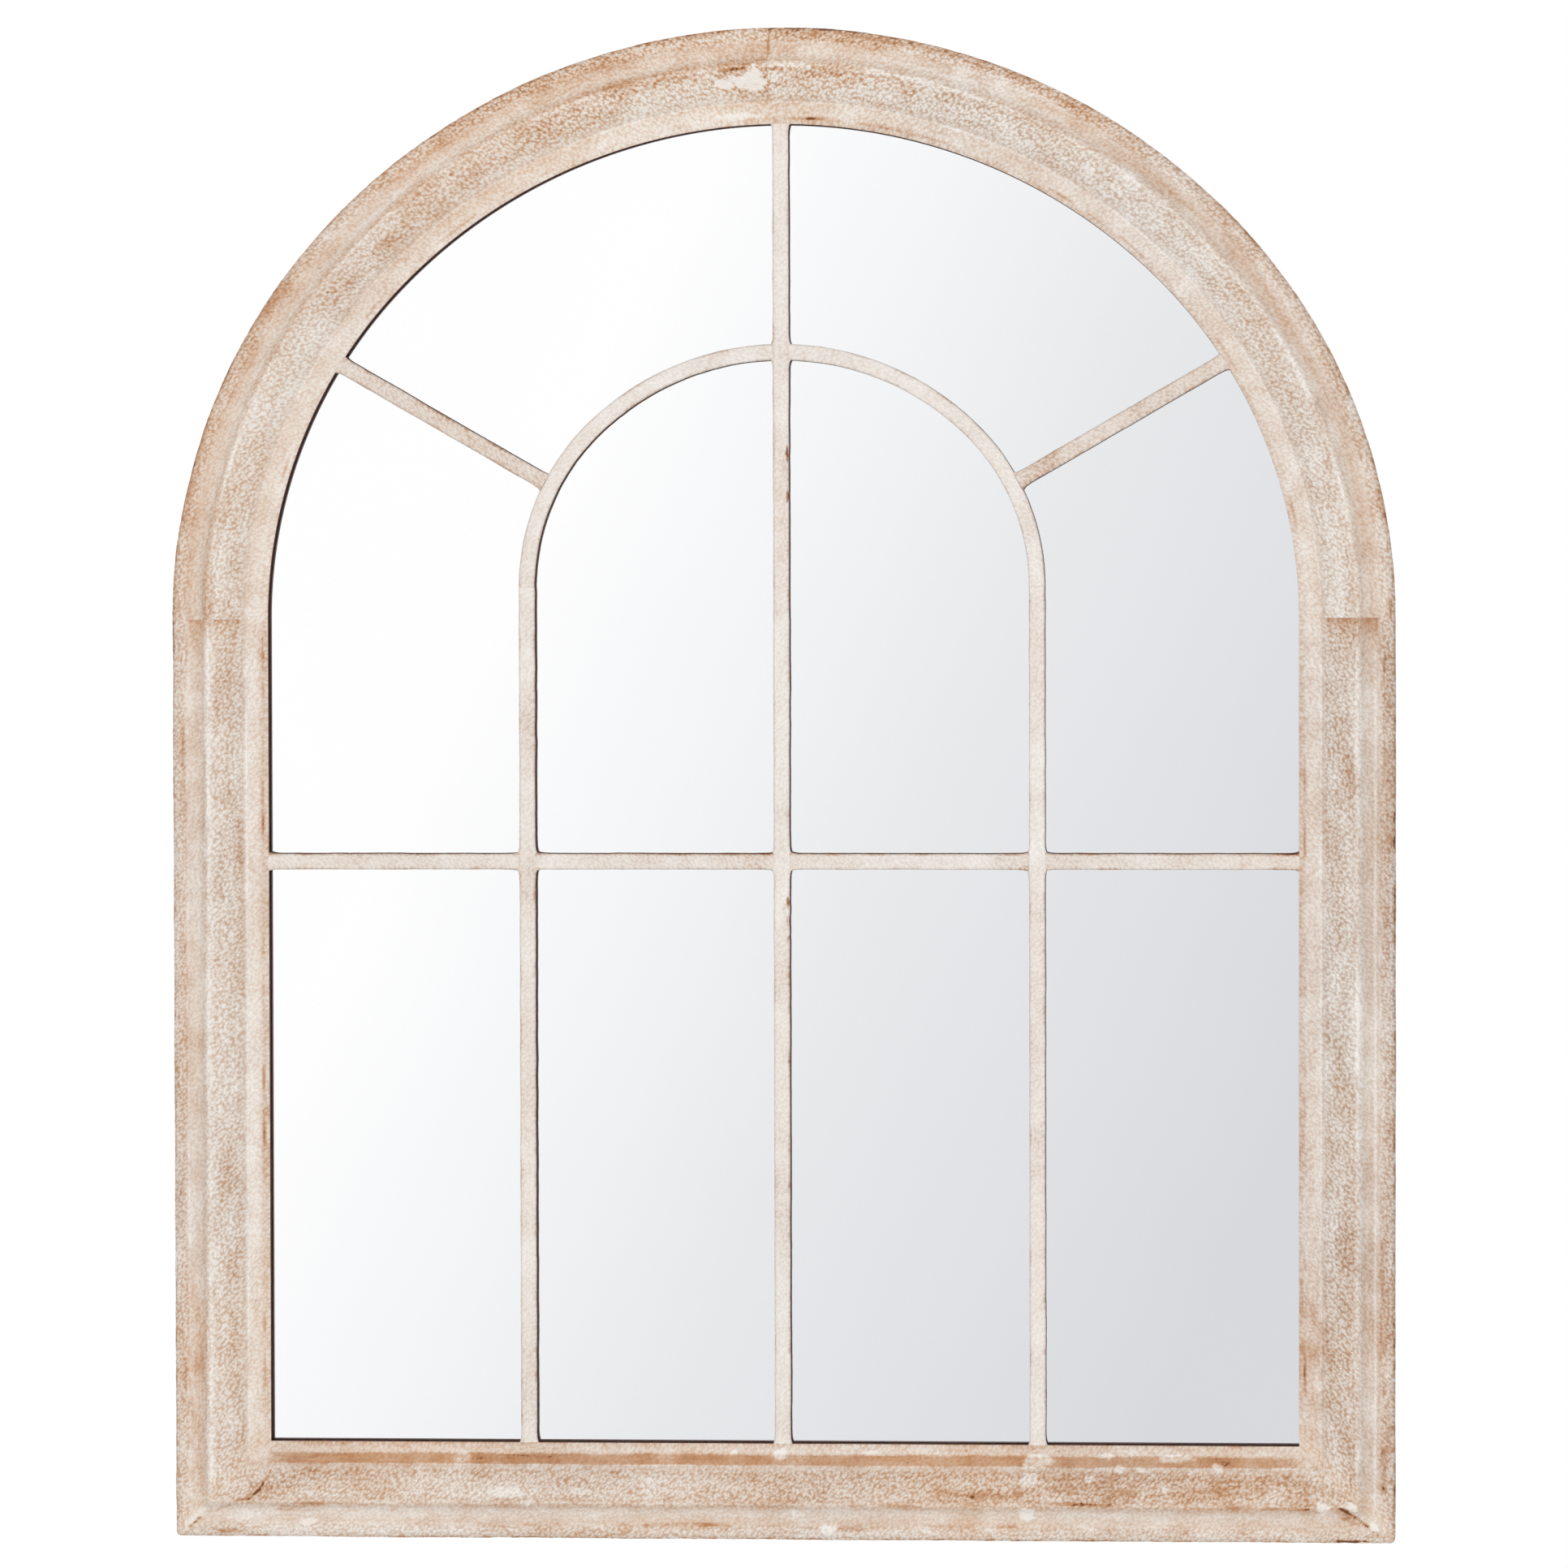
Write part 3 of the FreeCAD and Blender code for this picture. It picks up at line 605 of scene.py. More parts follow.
BAR_WARM_TONES = (
    (0.00, "#F3EDE6"),
    (0.25, "#EADFD5"),
    (0.48, "#DFCDBE"),
    (0.68, "#CFAF96"),
    (0.86, "#AE7855"),
    (1.00, "#6A412B"),
)
FRAME_LIMEWASH = LimewashedPine("limewashed_pine_frame", FRAME_TONES, FRAME_WARM_TONES)
BAR_LIMEWASH = LimewashedPine(
    "limewashed_pine_bars", BAR_TONES, BAR_WARM_TONES, dabs=0.26, streak=0.2, specks=0.02
)
STAINED_RETURN = GrainedTimber("dark_stained_pine", "#6B3F30", "#4A291E", 2.0, 60.0, 0.65)
BARE_PINE = GrainedTimber("bare_planed_pine", "#D9B98C", "#B98F5F", 3.5, 120.0, 0.7)
BEECH = GrainedTimber("turned_beech", "#D8B388", "#C0946A", 1.2, 30.0, 0.6, follows_uv=False)
HARDBOARD = PressedBoard("pressed_hardboard", "#8D6A49", "#6A4B31")
GREY_CARD = PressedBoard("grey_card", "#BDB4A6", "#A2988A", fibre_mm=1.2, roughness=0.9)
ZINC_STEEL = ZincPlate("zinc_plated_steel")
BUMPER_RUBBER = MouldedRubber("moulded_rubber")
FLOAT_GLASS = FloatGlass("clear_float_glass")
SILVER = Silvering("silvered_mirror_back")


# Helpers for meshes


# Brings the noise to about one at its peaks, and sets the patterns far apart
NOISE_GAIN = 1.6
SEED_STRIDE = 17.3

MERGE_OUTLINE = 0.01 * MM
MERGE_SWEPT = 0.02 * MM
MERGE_NODE = 0.001 * MM
ON_PLANE = 1e-7


def drift(points: np.ndarray, spacing: float, seed: int) -> np.ndarray:
    """Give smooth random values over a surface.

    Args:
        points: one row of X, Y, Z per point, in metres.
        spacing: size of one swell in metres.
        seed: number of the pattern.

    Returns:
        One value per point, from about -1 to 1.
    """
    rows = (points / spacing + SEED_STRIDE * seed).tolist()
    return np.array([noise.noise(row) for row in rows]) * NOISE_GAIN


def bell(values: np.ndarray, middle: float, width: float) -> np.ndarray:
    """Give a soft bump that is one at the middle and fades over the width."""
    return np.exp(-(((values - middle) / width) ** 2))


def ramp(values: np.ndarray, low: float, high: float) -> np.ndarray:
    """Give a smooth rise from nought at low to one at high."""
    part = np.clip((values - low) / (high - low), 0.0, 1.0)
    return part * part * (3 - 2 * part)


def between(values: np.ndarray, rise: Point2, fall: Point2) -> np.ndarray:
    """Give one between a rise and a fall, both in millimetres, and nought outside them."""
    risen, fallen = (ramp(values, low * MM, high * MM) for low, high in (rise, fall))
    return risen * (1 - fallen)


@dataclass(frozen=True)
class Swell:
    """Smooth random unevenness: its amount, the size of a swell in millimetres and its pattern.

    The base is its middle value, and low and high are its limits.
    """

    amount: float
    size: float
    pattern: int
    base: float = 0.0
    low: float = -math.inf
    high: float = math.inf

    def over(self, points: np.ndarray, seed: int = 0) -> np.ndarray:
        """Give the unevenness over a surface.

        Args:
            points: one row of X, Y, Z per point, in metres.
            seed: number that the surface's own patterns start from.

        Returns:
            One value per point.
        """
        uneven = self.amount * drift(points, self.size * MM, seed + self.pattern)
        return np.clip(self.base + uneven, self.low, self.high)


def heap(swells: tuple[Swell, ...], points: np.ndarray, seed: int = 0) -> np.ndarray:
    """Add up several swells over a surface."""
    return sum(swell.over(points, seed) for swell in swells)


@dataclass(frozen=True)
class Run:
    """One run of a section's outline, in millimetres: its end, its bow to the front and its step."""

    inset: float
    height: float
    bow: float = 0.0
    step: float = 0.8


@dataclass(frozen=True)
class Section:
    """Closed outline of a timber: inset across it, height in front of its back.

    Hand sanding and paint soften the arrises that stand in front of crisp_below.
    """

    runs: tuple[Run, ...]
    soften: int = 3
    crisp_below: float = 16.0

    def draw(self, bm: bmesh.types.BMesh) -> list[bmesh.types.BMEdge]:
        """Draw the outline in the XY plane, front towards -Y.

        Args:
            bm: the mesh that takes the outline.

        Returns:
            The outline's edges.
        """
        last = self.runs[-1]
        tip = bm.verts.new((last.inset * MM, -last.height * MM, 0.0))
        for run in self.runs:
            tip = self.extend(bm, tip, run)
        bmesh.ops.remove_doubles(bm, verts=bm.verts, dist=MERGE_OUTLINE)
        front = [v for v in bm.verts if -v.co.y > self.crisp_below * MM]
        for _ in range(self.soften):
            bmesh.ops.smooth_vert(
                bm, verts=front, factor=0.5, use_axis_x=True, use_axis_y=True, use_axis_z=True
            )
        return list(bm.edges)

    def extend(
        self, bm: bmesh.types.BMesh, tip: bmesh.types.BMVert, run: Run
    ) -> bmesh.types.BMVert:
        """Draw one run on from the outline's tip.

        Args:
            bm: the mesh that takes the run.
            tip: the outline's last vertex.
            run: the run to draw.

        Returns:
            The new last vertex.
        """
        end = Vector((run.inset * MM, -run.height * MM, 0.0))
        chord = end - tip.co
        steps = max(1, round(chord.length / (run.step * MM)))
        if run.bow:
            bow = abs(run.bow) * MM
            radius = (chord.length**2 / 4 + bow**2) / (2 * bow)
            inward = Vector((-chord.y, chord.x, 0.0)).normalized() * math.copysign(1, run.bow)
            made = bmesh.ops.spin(
                bm,
                geom=[tip],
                cent=(tip.co + end) / 2 + inward * (radius - bow),
                axis=(0, 0, 1),
                angle=math.copysign(4 * math.atan2(2 * bow, chord.length), run.bow),
                steps=steps,
            )
        else:
            made = bmesh.ops.spin(
                bm, geom=[tip], axis=(0, 0, 1), dvec=chord / steps, angle=0.0, steps=steps
            )
        return next(g for g in made["geom_last"] if isinstance(g, bmesh.types.BMVert))


@dataclass(frozen=True)
class ThreeCentredArch:
    """Arch of two haunches and a crown that meet at the haunch turn, in metres."""

    half_span: float
    rise: float
    spring: float
    turn: float = math.radians(45.0)
    past: float = math.radians(2.5)
    facets: int = 12

    def solve(self) -> tuple[float, float, float, float]:
        """Work out the arch's centres and radii.

        Returns:
            Haunch centre's distance from the middle, haunch radius, crown centre's height above
            the spring (below it when negative) and crown radius.
        """
        # The crown's centre lies on the middle line, under the haunch's centre along the joint.
        slope = math.tan(self.turn)
        # half_span = offset + haunch; rise = crown - drop; crown = haunch + offset / cos(turn).
        offset = (self.rise - self.half_span) / (1 / math.cos(self.turn) - slope - 1)
        haunch = self.half_span - offset
        return offset, haunch, -offset * slope, haunch + offset / math.cos(self.turn)

    def measure(self, side: Side, points: np.ndarray) -> tuple[np.ndarray, np.ndarray]:
        """Measure points along and across the arch.

        Args:
            side: the half that the points belong to.
            points: one row of X, Y, Z per point.

        Returns:
            Angle from the spring in radians, and distance inside the arch's own line.
        """
        offset, haunch, lift, crown = self.solve()
        out = points[:, 0] * side.value
        up = points[:, 2] - self.spring
        low = np.arctan2(up, out - offset)
        high = np.arctan2(up - lift, out)
        on_haunch = low <= self.turn
        turned = np.where(on_haunch, low, high)
        inset = np.where(
            on_haunch, haunch - np.hypot(up, out - offset), crown - np.hypot(up - lift, out)
        )
        return turned, inset

    def reach(self, turned: float, inset: float, start: Point2) -> float:
        """Find how far a ray runs before it meets the arch's haunch.

        Args:
            turned: the ray's angle above the level in radians.
            inset: distance inside the arch's line of the curve to meet.
            start: where the ray starts, out from the middle and in height.

        Returns:
            The ray's length.
        """
        offset, haunch, _, _ = self.solve()
        ray = Vector((math.cos(turned), math.sin(turned)))
        away = Vector((start[0] - offset, start[1] - self.spring))
        half = away.dot(ray)
        return -half + math.sqrt(half**2 - away.length_squared + (haunch - inset) ** 2)

    def sweep(
        self, bm: bmesh.types.BMesh, edges: list[bmesh.types.BMEdge], step: float
    ) -> None:
        """Turn a section from the left spring over to a little past the crown.

        The arcs are first turned in a few facets and then divided, which true_up makes round.

        Args:
            bm: the mesh that holds the section.
            edges: the section's edges, standing at the left spring.
            step: length of one step in metres.
        """
        offset, _, lift, crown = self.solve()
        arcs = (
            (Vector((-offset, 0.0, self.spring)), self.turn),
            (Vector((0.0, 0.0, self.spring + lift)), math.pi / 2 - self.turn + self.past),
        )
        rings = set(edges)
        for centre, angle in arcs:
            for _ in range(self.facets):
                made = bmesh.ops.spin(
                    bm, geom=edges, cent=centre, axis=(0, 1, 0), angle=angle / self.facets, steps=1
                )
                edges = [g for g in made["geom_last"] if isinstance(g, bmesh.types.BMEdge)]
                rings.update(edges)
        divide(bm, rings, round(crown * self.turn / self.facets / step))

    def true_up(self, side: Side, points: np.ndarray) -> None:
        """Move points of divided facets out to the true arcs.

        Args:
            side: the half that the points belong to.
            points: one row of X, Y, Z per point, which are moved.
        """
        offset, _, lift, _ = self.solve()
        turned, _ = self.measure(side, points)
        on_haunch = turned <= self.turn
        facet = np.where(on_haunch, self.turn, math.pi / 2 - self.turn + self.past) / self.facets
        off = np.mod(turned - np.where(on_haunch, 0.0, self.turn), facet) - facet / 2
        grow = np.cos(off) / np.cos(facet / 2)
        middle = np.where(on_haunch, side.value * offset, 0.0)
        height = self.spring + np.where(on_haunch, 0.0, lift)
        points[:, 0] = middle + (points[:, 0] - middle) * grow
        points[:, 2] = height + (points[:, 2] - height) * grow


def divide(bm: bmesh.types.BMesh, rings: set[bmesh.types.BMEdge], parts: int) -> None:
    """Divide a swept timber along its length.

    Args:
        bm: the mesh that holds the timber.
        rings: edges across the timber, which stay whole.
        parts: number of parts for each edge along it.
    """
    along = [e for e in bm.edges if e not in rings]
    bmesh.ops.subdivide_edges(bm, edges=along, cuts=parts - 1)


def run_straight(
    bm: bmesh.types.BMesh, edges: list[bmesh.types.BMEdge], run: Vector, step: float
) -> None:
    """Run a section straight and divide it into even steps.

    Args:
        bm: the mesh that holds the section.
        edges: the section's edges.
        run: direction and length of the run in metres.
        step: length of one step in metres.
    """
    made = bmesh.ops.spin(bm, geom=edges, axis=(0, 0, 1), dvec=run, angle=0.0, steps=1)
    rings = {*edges, *(g for g in made["geom_last"] if isinstance(g, bmesh.types.BMEdge))}
    divide(bm, rings, round(run.length / step))


def cut(
    bm: bmesh.types.BMesh, place: Vector, outward: Vector, clear: bool = True
) -> None:
    """Cut a mesh by a plane.

    Args:
        bm: the mesh.
        place: a point of the plane.
        outward: the plane's normal.
        clear: take away what lies outward of the plane.
    """
    bmesh.ops.bisect_plane(
        bm,
        geom=[*bm.verts, *bm.edges, *bm.faces],
        dist=ON_PLANE,
        plane_co=place,
        plane_no=outward,
        clear_outer=clear,
    )


def close_up(bm: bmesh.types.BMesh) -> None:
    """Cap a swept timber's open ends and turn its faces outwards.

    Args:
        bm: the mesh that holds the timber.
    """
    bmesh.ops.remove_doubles(bm, verts=bm.verts, dist=MERGE_SWEPT)
    bmesh.ops.holes_fill(bm, edges=[e for e in bm.edges if e.is_boundary], sides=0)
    bmesh.ops.recalc_face_normals(bm, faces=bm.faces)


@dataclass
class Surface:
    """Points of a painted timber with their places on it, in metres."""

    points: np.ndarray
    normals: np.ndarray
    along: np.ndarray
    inset: np.ndarray
    height: np.ndarray

    @property
    def girth(self) -> np.ndarray:
        """Give the distance round the section from its outer arris, negative down the side."""
        return self.inset - np.maximum(0.0, SIDE_FRONT - self.height)

    def drawn_out(self, across: np.ndarray, stretch: float) -> np.ndarray:
        """Lay the surface flat with its length shortened, so that patterns on it are drawn out.

        Args:
            across: place of each point across the timber, in metres.
            stretch: share of the length that is kept.

        Returns:
            One row of X, Y, Z per point.
        """
        return np.stack([stretch * self.along, across, np.zeros(len(across))], 1)


@dataclass(frozen=True)
class Blemish:
    """A place where stain shows or paint lies thick: change of wear, and height in millimetres."""

    amount: float
    lift: float

    def cover(self, places: np.ndarray, ragged: np.ndarray) -> np.ndarray:
        """Tell how far each place is covered.

        Args:
            places: millimetres right of the middle and up from the foot, one row per place.
            ragged: small offsets that break up the outline.

        Returns:
            Nought to one per place.
        """
        raise NotImplementedError


@dataclass(frozen=True)
class Patch(Blemish):
    """An oval blemish in millimetres, its length turned up from the level by lean degrees."""

    x: float
    z: float
    length: float
    width: float
    lean: float = 0.0
    rim: Point2 = (0.72, 1.08)

    def cover(self, places: np.ndarray, ragged: np.ndarray) -> np.ndarray:
        """Tell how far each place lies inside the oval.

        Args:
            places: millimetres right of the middle and up from the foot, one row per place.
            ragged: small offsets that break up the outline.

        Returns:
            Nought to one per place.
        """
        ahead = math.cos(math.radians(self.lean)), math.sin(math.radians(self.lean))
        out, up = places[:, 0] - self.x, places[:, 1] - self.z
        far = np.hypot(
            (out * ahead[0] + up * ahead[1]) / (self.length / 2),
            (up * ahead[0] - out * ahead[1]) / (self.width / 2),
        )
        return 1 - ramp(far + ragged, *self.rim)


@dataclass(frozen=True)
class Crack(Blemish):
    """A blemish along a line of points, in millimetres."""

    width: float
    path: tuple[Point2, ...]
    raggedness: float = 0.5

    def cover(self, places: np.ndarray, ragged: np.ndarray) -> np.ndarray:
        """Tell how near each place lies to the line.

        Args:
            places: millimetres right of the middle and up from the foot, one row per place.
            ragged: small offsets that break up the outline.

        Returns:
            Nought to one per place.
        """
        nearest = np.full(len(places), np.inf)
        for start, end in zip(np.array(self.path), np.array(self.path[1:])):
            run = end - start
            part = np.clip((places - start) @ run / (run @ run), 0.0, 1.0)
            away = np.linalg.norm(places - start - part[:, None] * run, axis=1)
            nearest = np.minimum(nearest, away)
        return bell(nearest * (1 + self.raggedness * ragged), 0.0, self.width)


# Timber pieces


@dataclass
class PaintedTimber:
    """A length of painted timber that stands for a CAD node."""

    node: str
    slot: str
    limewash: LimewashedPine
    seed: int
    warmth: float = 0.3
    blemishes: tuple[Blemish, ...] = ()
    warm_clouds: Swell = Swell(0.25, 90, 31)
    warm_worn: Point2 = (0.75, 0.45)
    ragged: tuple[Swell, ...] = (Swell(0.30, 5, 40), Swell(0.22, 2, 41))
    streaks: Swell = Swell(0.6, 1.6, 42, base=0.85, low=0.15, high=1.3)
    streak_stretch: float = 0.12
    spotted_height: Point2 = (12 * MM, 15 * MM)
    wear_limits: Point2 = (-0.3, 1.2)
    calm_wear: Point2 = (0.6, 0.85)
    calm_share: float = 0.7
    crease: float = math.radians(40)

    def sweep(self, bm: bmesh.types.BMesh) -> None:
        """Shape the timber in an empty mesh."""
        raise NotImplementedError

    def measure(self, points: np.ndarray) -> tuple[np.ndarray, np.ndarray, np.ndarray]:
        """Measure points along, across and in front of the back of the timber."""
        raise NotImplementedError

    def coats(self, inset: np.ndarray, height: np.ndarray) -> np.ndarray:
        """Choose the material slot of each face by its place on the section."""
        raise NotImplementedError

    def relief(self, surface: Surface) -> np.ndarray:
        """Work out how far the surface stands out of its ruled shape, in metres."""
        raise NotImplementedError

    def wear(self, surface: Surface) -> np.ndarray:
        """Work out how far the limewash is worn, from nought to one."""
        raise NotImplementedError

    def grit(self, surface: Surface) -> np.ndarray:
        """Work out how strongly the dabs show: evenly, unless a timber says otherwise."""
        return np.ones(len(surface.points))

    def tint(self, surface: Surface, worn: np.ndarray) -> np.ndarray:
        """Work out how warm the stain looks, warmer where more of it shows."""
        rate, middle = self.warm_worn
        return self.warmth + self.warm_clouds.over(surface.points) + rate * (worn - middle)

    def outward(self, surface: Surface) -> np.ndarray:
        """Give the direction in which the surface is roughened."""
        return surface.normals

    def adjust(self, points: np.ndarray) -> None:
        """Fit the points to arcs or neighbours before they are roughened; most need nothing."""

    def spots(self, surface: Surface) -> tuple[np.ndarray, np.ndarray]:
        """Add up the timber's blemishes.

        Args:
            surface: the timber's points.

        Returns:
            Change of wear, and height in metres, per point.
        """
        places = np.stack([surface.points[:, 0], surface.points[:, 2] - FOOT], 1) / MM
        ragged = heap(self.ragged, surface.points)
        painted = ramp(surface.height, *self.spotted_height)
        streaky = self.streaks.over(surface.drawn_out(surface.inset, self.streak_stretch))
        worn, lifted = np.zeros(len(places)), np.zeros(len(places))
        for blemish in self.blemishes:
            cover = blemish.cover(places, ragged)
            worn += blemish.amount * cover * painted * (streaky if blemish.amount > 0 else 1.0)
            lifted += blemish.lift * MM * cover * painted
        return worn, lifted

    def build(self) -> bpy.types.Object:
        """Model the timber, roughen it and dress it.

        Returns:
            The finished piece.
        """
        bm = bmesh.new()
        self.sweep(bm)
        close_up(bm)
        mesh = bpy.data.meshes.new(self.node + "_painted")
        bm.to_mesh(mesh)
        bm.free()
        points = np.empty(len(mesh.vertices) * 3)
        mesh.vertices.foreach_get("co", points)
        points = points.reshape(-1, 3)
        self.adjust(points)
        mesh.vertices.foreach_set("co", points.ravel())
        mesh.update()
        centres = np.empty(len(mesh.polygons) * 3)
        mesh.polygons.foreach_get("center", centres)
        _, inset, height = self.measure(centres.reshape(-1, 3))
        mesh.polygons.foreach_set("material_index", self.coats(inset, height).astype(np.int32))
        normals = np.empty(len(mesh.vertices) * 3)
        mesh.vertices.foreach_get("normal", normals)
        surface = Surface(points, normals.reshape(-1, 3), *self.measure(points))
        spotted, lifted = self.spots(surface)
        worn = np.clip(self.wear(surface) + spotted, *self.wear_limits)
        moved = points + self.outward(surface) * (self.relief(surface) + lifted)[:, None]
        mesh.vertices.foreach_set("co", moved.ravel())
        warm = np.clip(self.tint(surface, worn), 0.0, 1.0)
        grit = self.grit(surface) * (1 - self.calm_share * ramp(worn, *self.calm_wear))
        for name, values in ((WEAR, worn), (WARMTH, warm), (GRIT, grit)):
            mesh.attributes.new(name, "FLOAT", "POINT").data.foreach_set("value", values)
        corners = np.empty(len(mesh.loops), dtype=np.int32)
        mesh.loops.foreach_get("vertex_index", corners)
        places = np.stack([surface.along, surface.girth], 1)
        mesh.uv_layers.new(name=GRAIN_MAP).data.foreach_set("uv", places[corners].ravel())
        for finish in (self.limewash, STAINED_RETURN, BARE_PINE):
            mesh.materials.append(finish.material())
        mesh.shade_smooth()
        mesh.set_sharp_from_angle(angle=self.crease)
        mesh.update()
        piece = bpy.data.objects.new(self.node + "_painted", mesh)
        bpy.context.scene.collection.objects.link(piece)
        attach(piece, FRAME_BODY)
        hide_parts(self.node)
        return piece


# Sizes that come from the part's own nodes
STILE_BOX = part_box("left_stile")
RAIL_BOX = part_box("bottom_rail")
HALF_WIDTH = -STILE_BOX[0].x
FOOT = RAIL_BOX[0].z
SPRING = STILE_BOX[1].z
BACK = STILE_BOX[1].y
CROWN = CAD_BOX[1].z
UPRIGHT_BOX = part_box("left_upright_bar")
UPRIGHT = -(UPRIGHT_BOX[0].x + UPRIGHT_BOX[1].x) / 2
INNER_RISE = 132 * MM
FRAME_ARCH = ThreeCentredArch(HALF_WIDTH, CROWN - SPRING, SPRING)
INNER_ARCH = ThreeCentredArch(UPRIGHT, INNER_RISE, UPRIGHT_BOX[1].z)

# Sizes of the moulding's section, as in the part's source
FACE_WIDTH = 54 * MM
SIDE_FRONT = 17.3 * MM
GLASS_FRONT = 9.2 * MM
SIGHT_HEIGHT = 15.6 * MM
PANEL_REBATE = 33.5 * MM
LAP_HEIGHT = 12.4 * MM
CROWN_JOINT = -6 * MM
CORNER_ROUND = 4 * MM

# How close a point lies to a joint that belongs to its rim
RIM = 0.05 * MM

MOULDING = Section(
    (
        Run(0.0, 17.3, step=2.0),
        Run(7.5, 24.8, bow=2.197, step=0.75),
        Run(8.8, 24.8, step=0.5),
        Run(8.8, 23.8, step=0.5),
        Run(19.2, 29.4, bow=-2.0, step=0.8),
        Run(20.8, 31.0, step=0.5),
        Run(23.0, 31.2, step=0.6),
        Run(24.8, 29.9, step=0.45),
        Run(41.0, 17.9, bow=1.0, step=0.85),
        Run(41.4, 16.6, step=0.45),
        Run(41.8, 17.3, step=0.45),
        Run(51.8, 16.5, step=0.8),
        Run(54.0, 15.6, step=0.6),
        Run(54.0, 9.2, step=1.2),
        Run(46.0, 9.2, step=4.0),
        Run(46.0, 4.0, step=3.0),
        Run(34.0, 4.0, step=4.0),
        Run(34.0, 0.0, step=3.0),
        Run(0.0, 0.0, step=5.0),
    )
)

# Strength of the dabs, and of the brushed mottles, across the section
GRIT_BANDS: tuple[Band, ...] = (
    (0, 0.95), (7, 0.85), (9.5, 0.45), (18, 0.5), (21, 0.75),
    (26, 1.0), (38, 1.0), (41, 0.55), (49, 0.5), (54, 0.6),
)
MOTTLE_BANDS: tuple[Band, ...] = (
    (0, 1.0), (7, 1.0), (10, 0.55), (18, 0.55), (22, 1.0), (38, 1.0), (42, 0.35), (54, 0.35),
)
# Wear that stile and arch share where they meet
SPRING_BANDS: tuple[Band, ...] = (
    (0, 0.58), (3, 0.52), (9, 0.46), (25, 0.40), (40, 0.36), (46, 0.31), (51, 0.34), (54, 0.42),
)
# Painted highlights, paler lines along three arrises where light catches them: inset, how much paler, and
# half the width in millimetres
PAINTED_HIGHLIGHT_LINES = ((8.9, 0.16, 0.55), (21.7, 0.14, 0.8), (41.6, 0.14, 0.7))
# Arrises that have lost chips: inset in millimetres and depth in millimetres
ARRISES = ((5.0, 0.35), (20.3, 0.5), (24.0, 0.45), (53.2, 0.3))
# Rises and falls that bound the slope and the part that steps at a spring joint, in millimetres
SLOPE = ((24, 26), (39, 41))
SPRING_STEP = ((9, 10.8), (38, 40.5))


def banded(bands: tuple[Band, ...], inset: np.ndarray) -> np.ndarray:
    """Read a table of bands at places across the section, given in metres."""
    places, values = np.array(bands).T
    return np.interp(inset, places * MM, values)


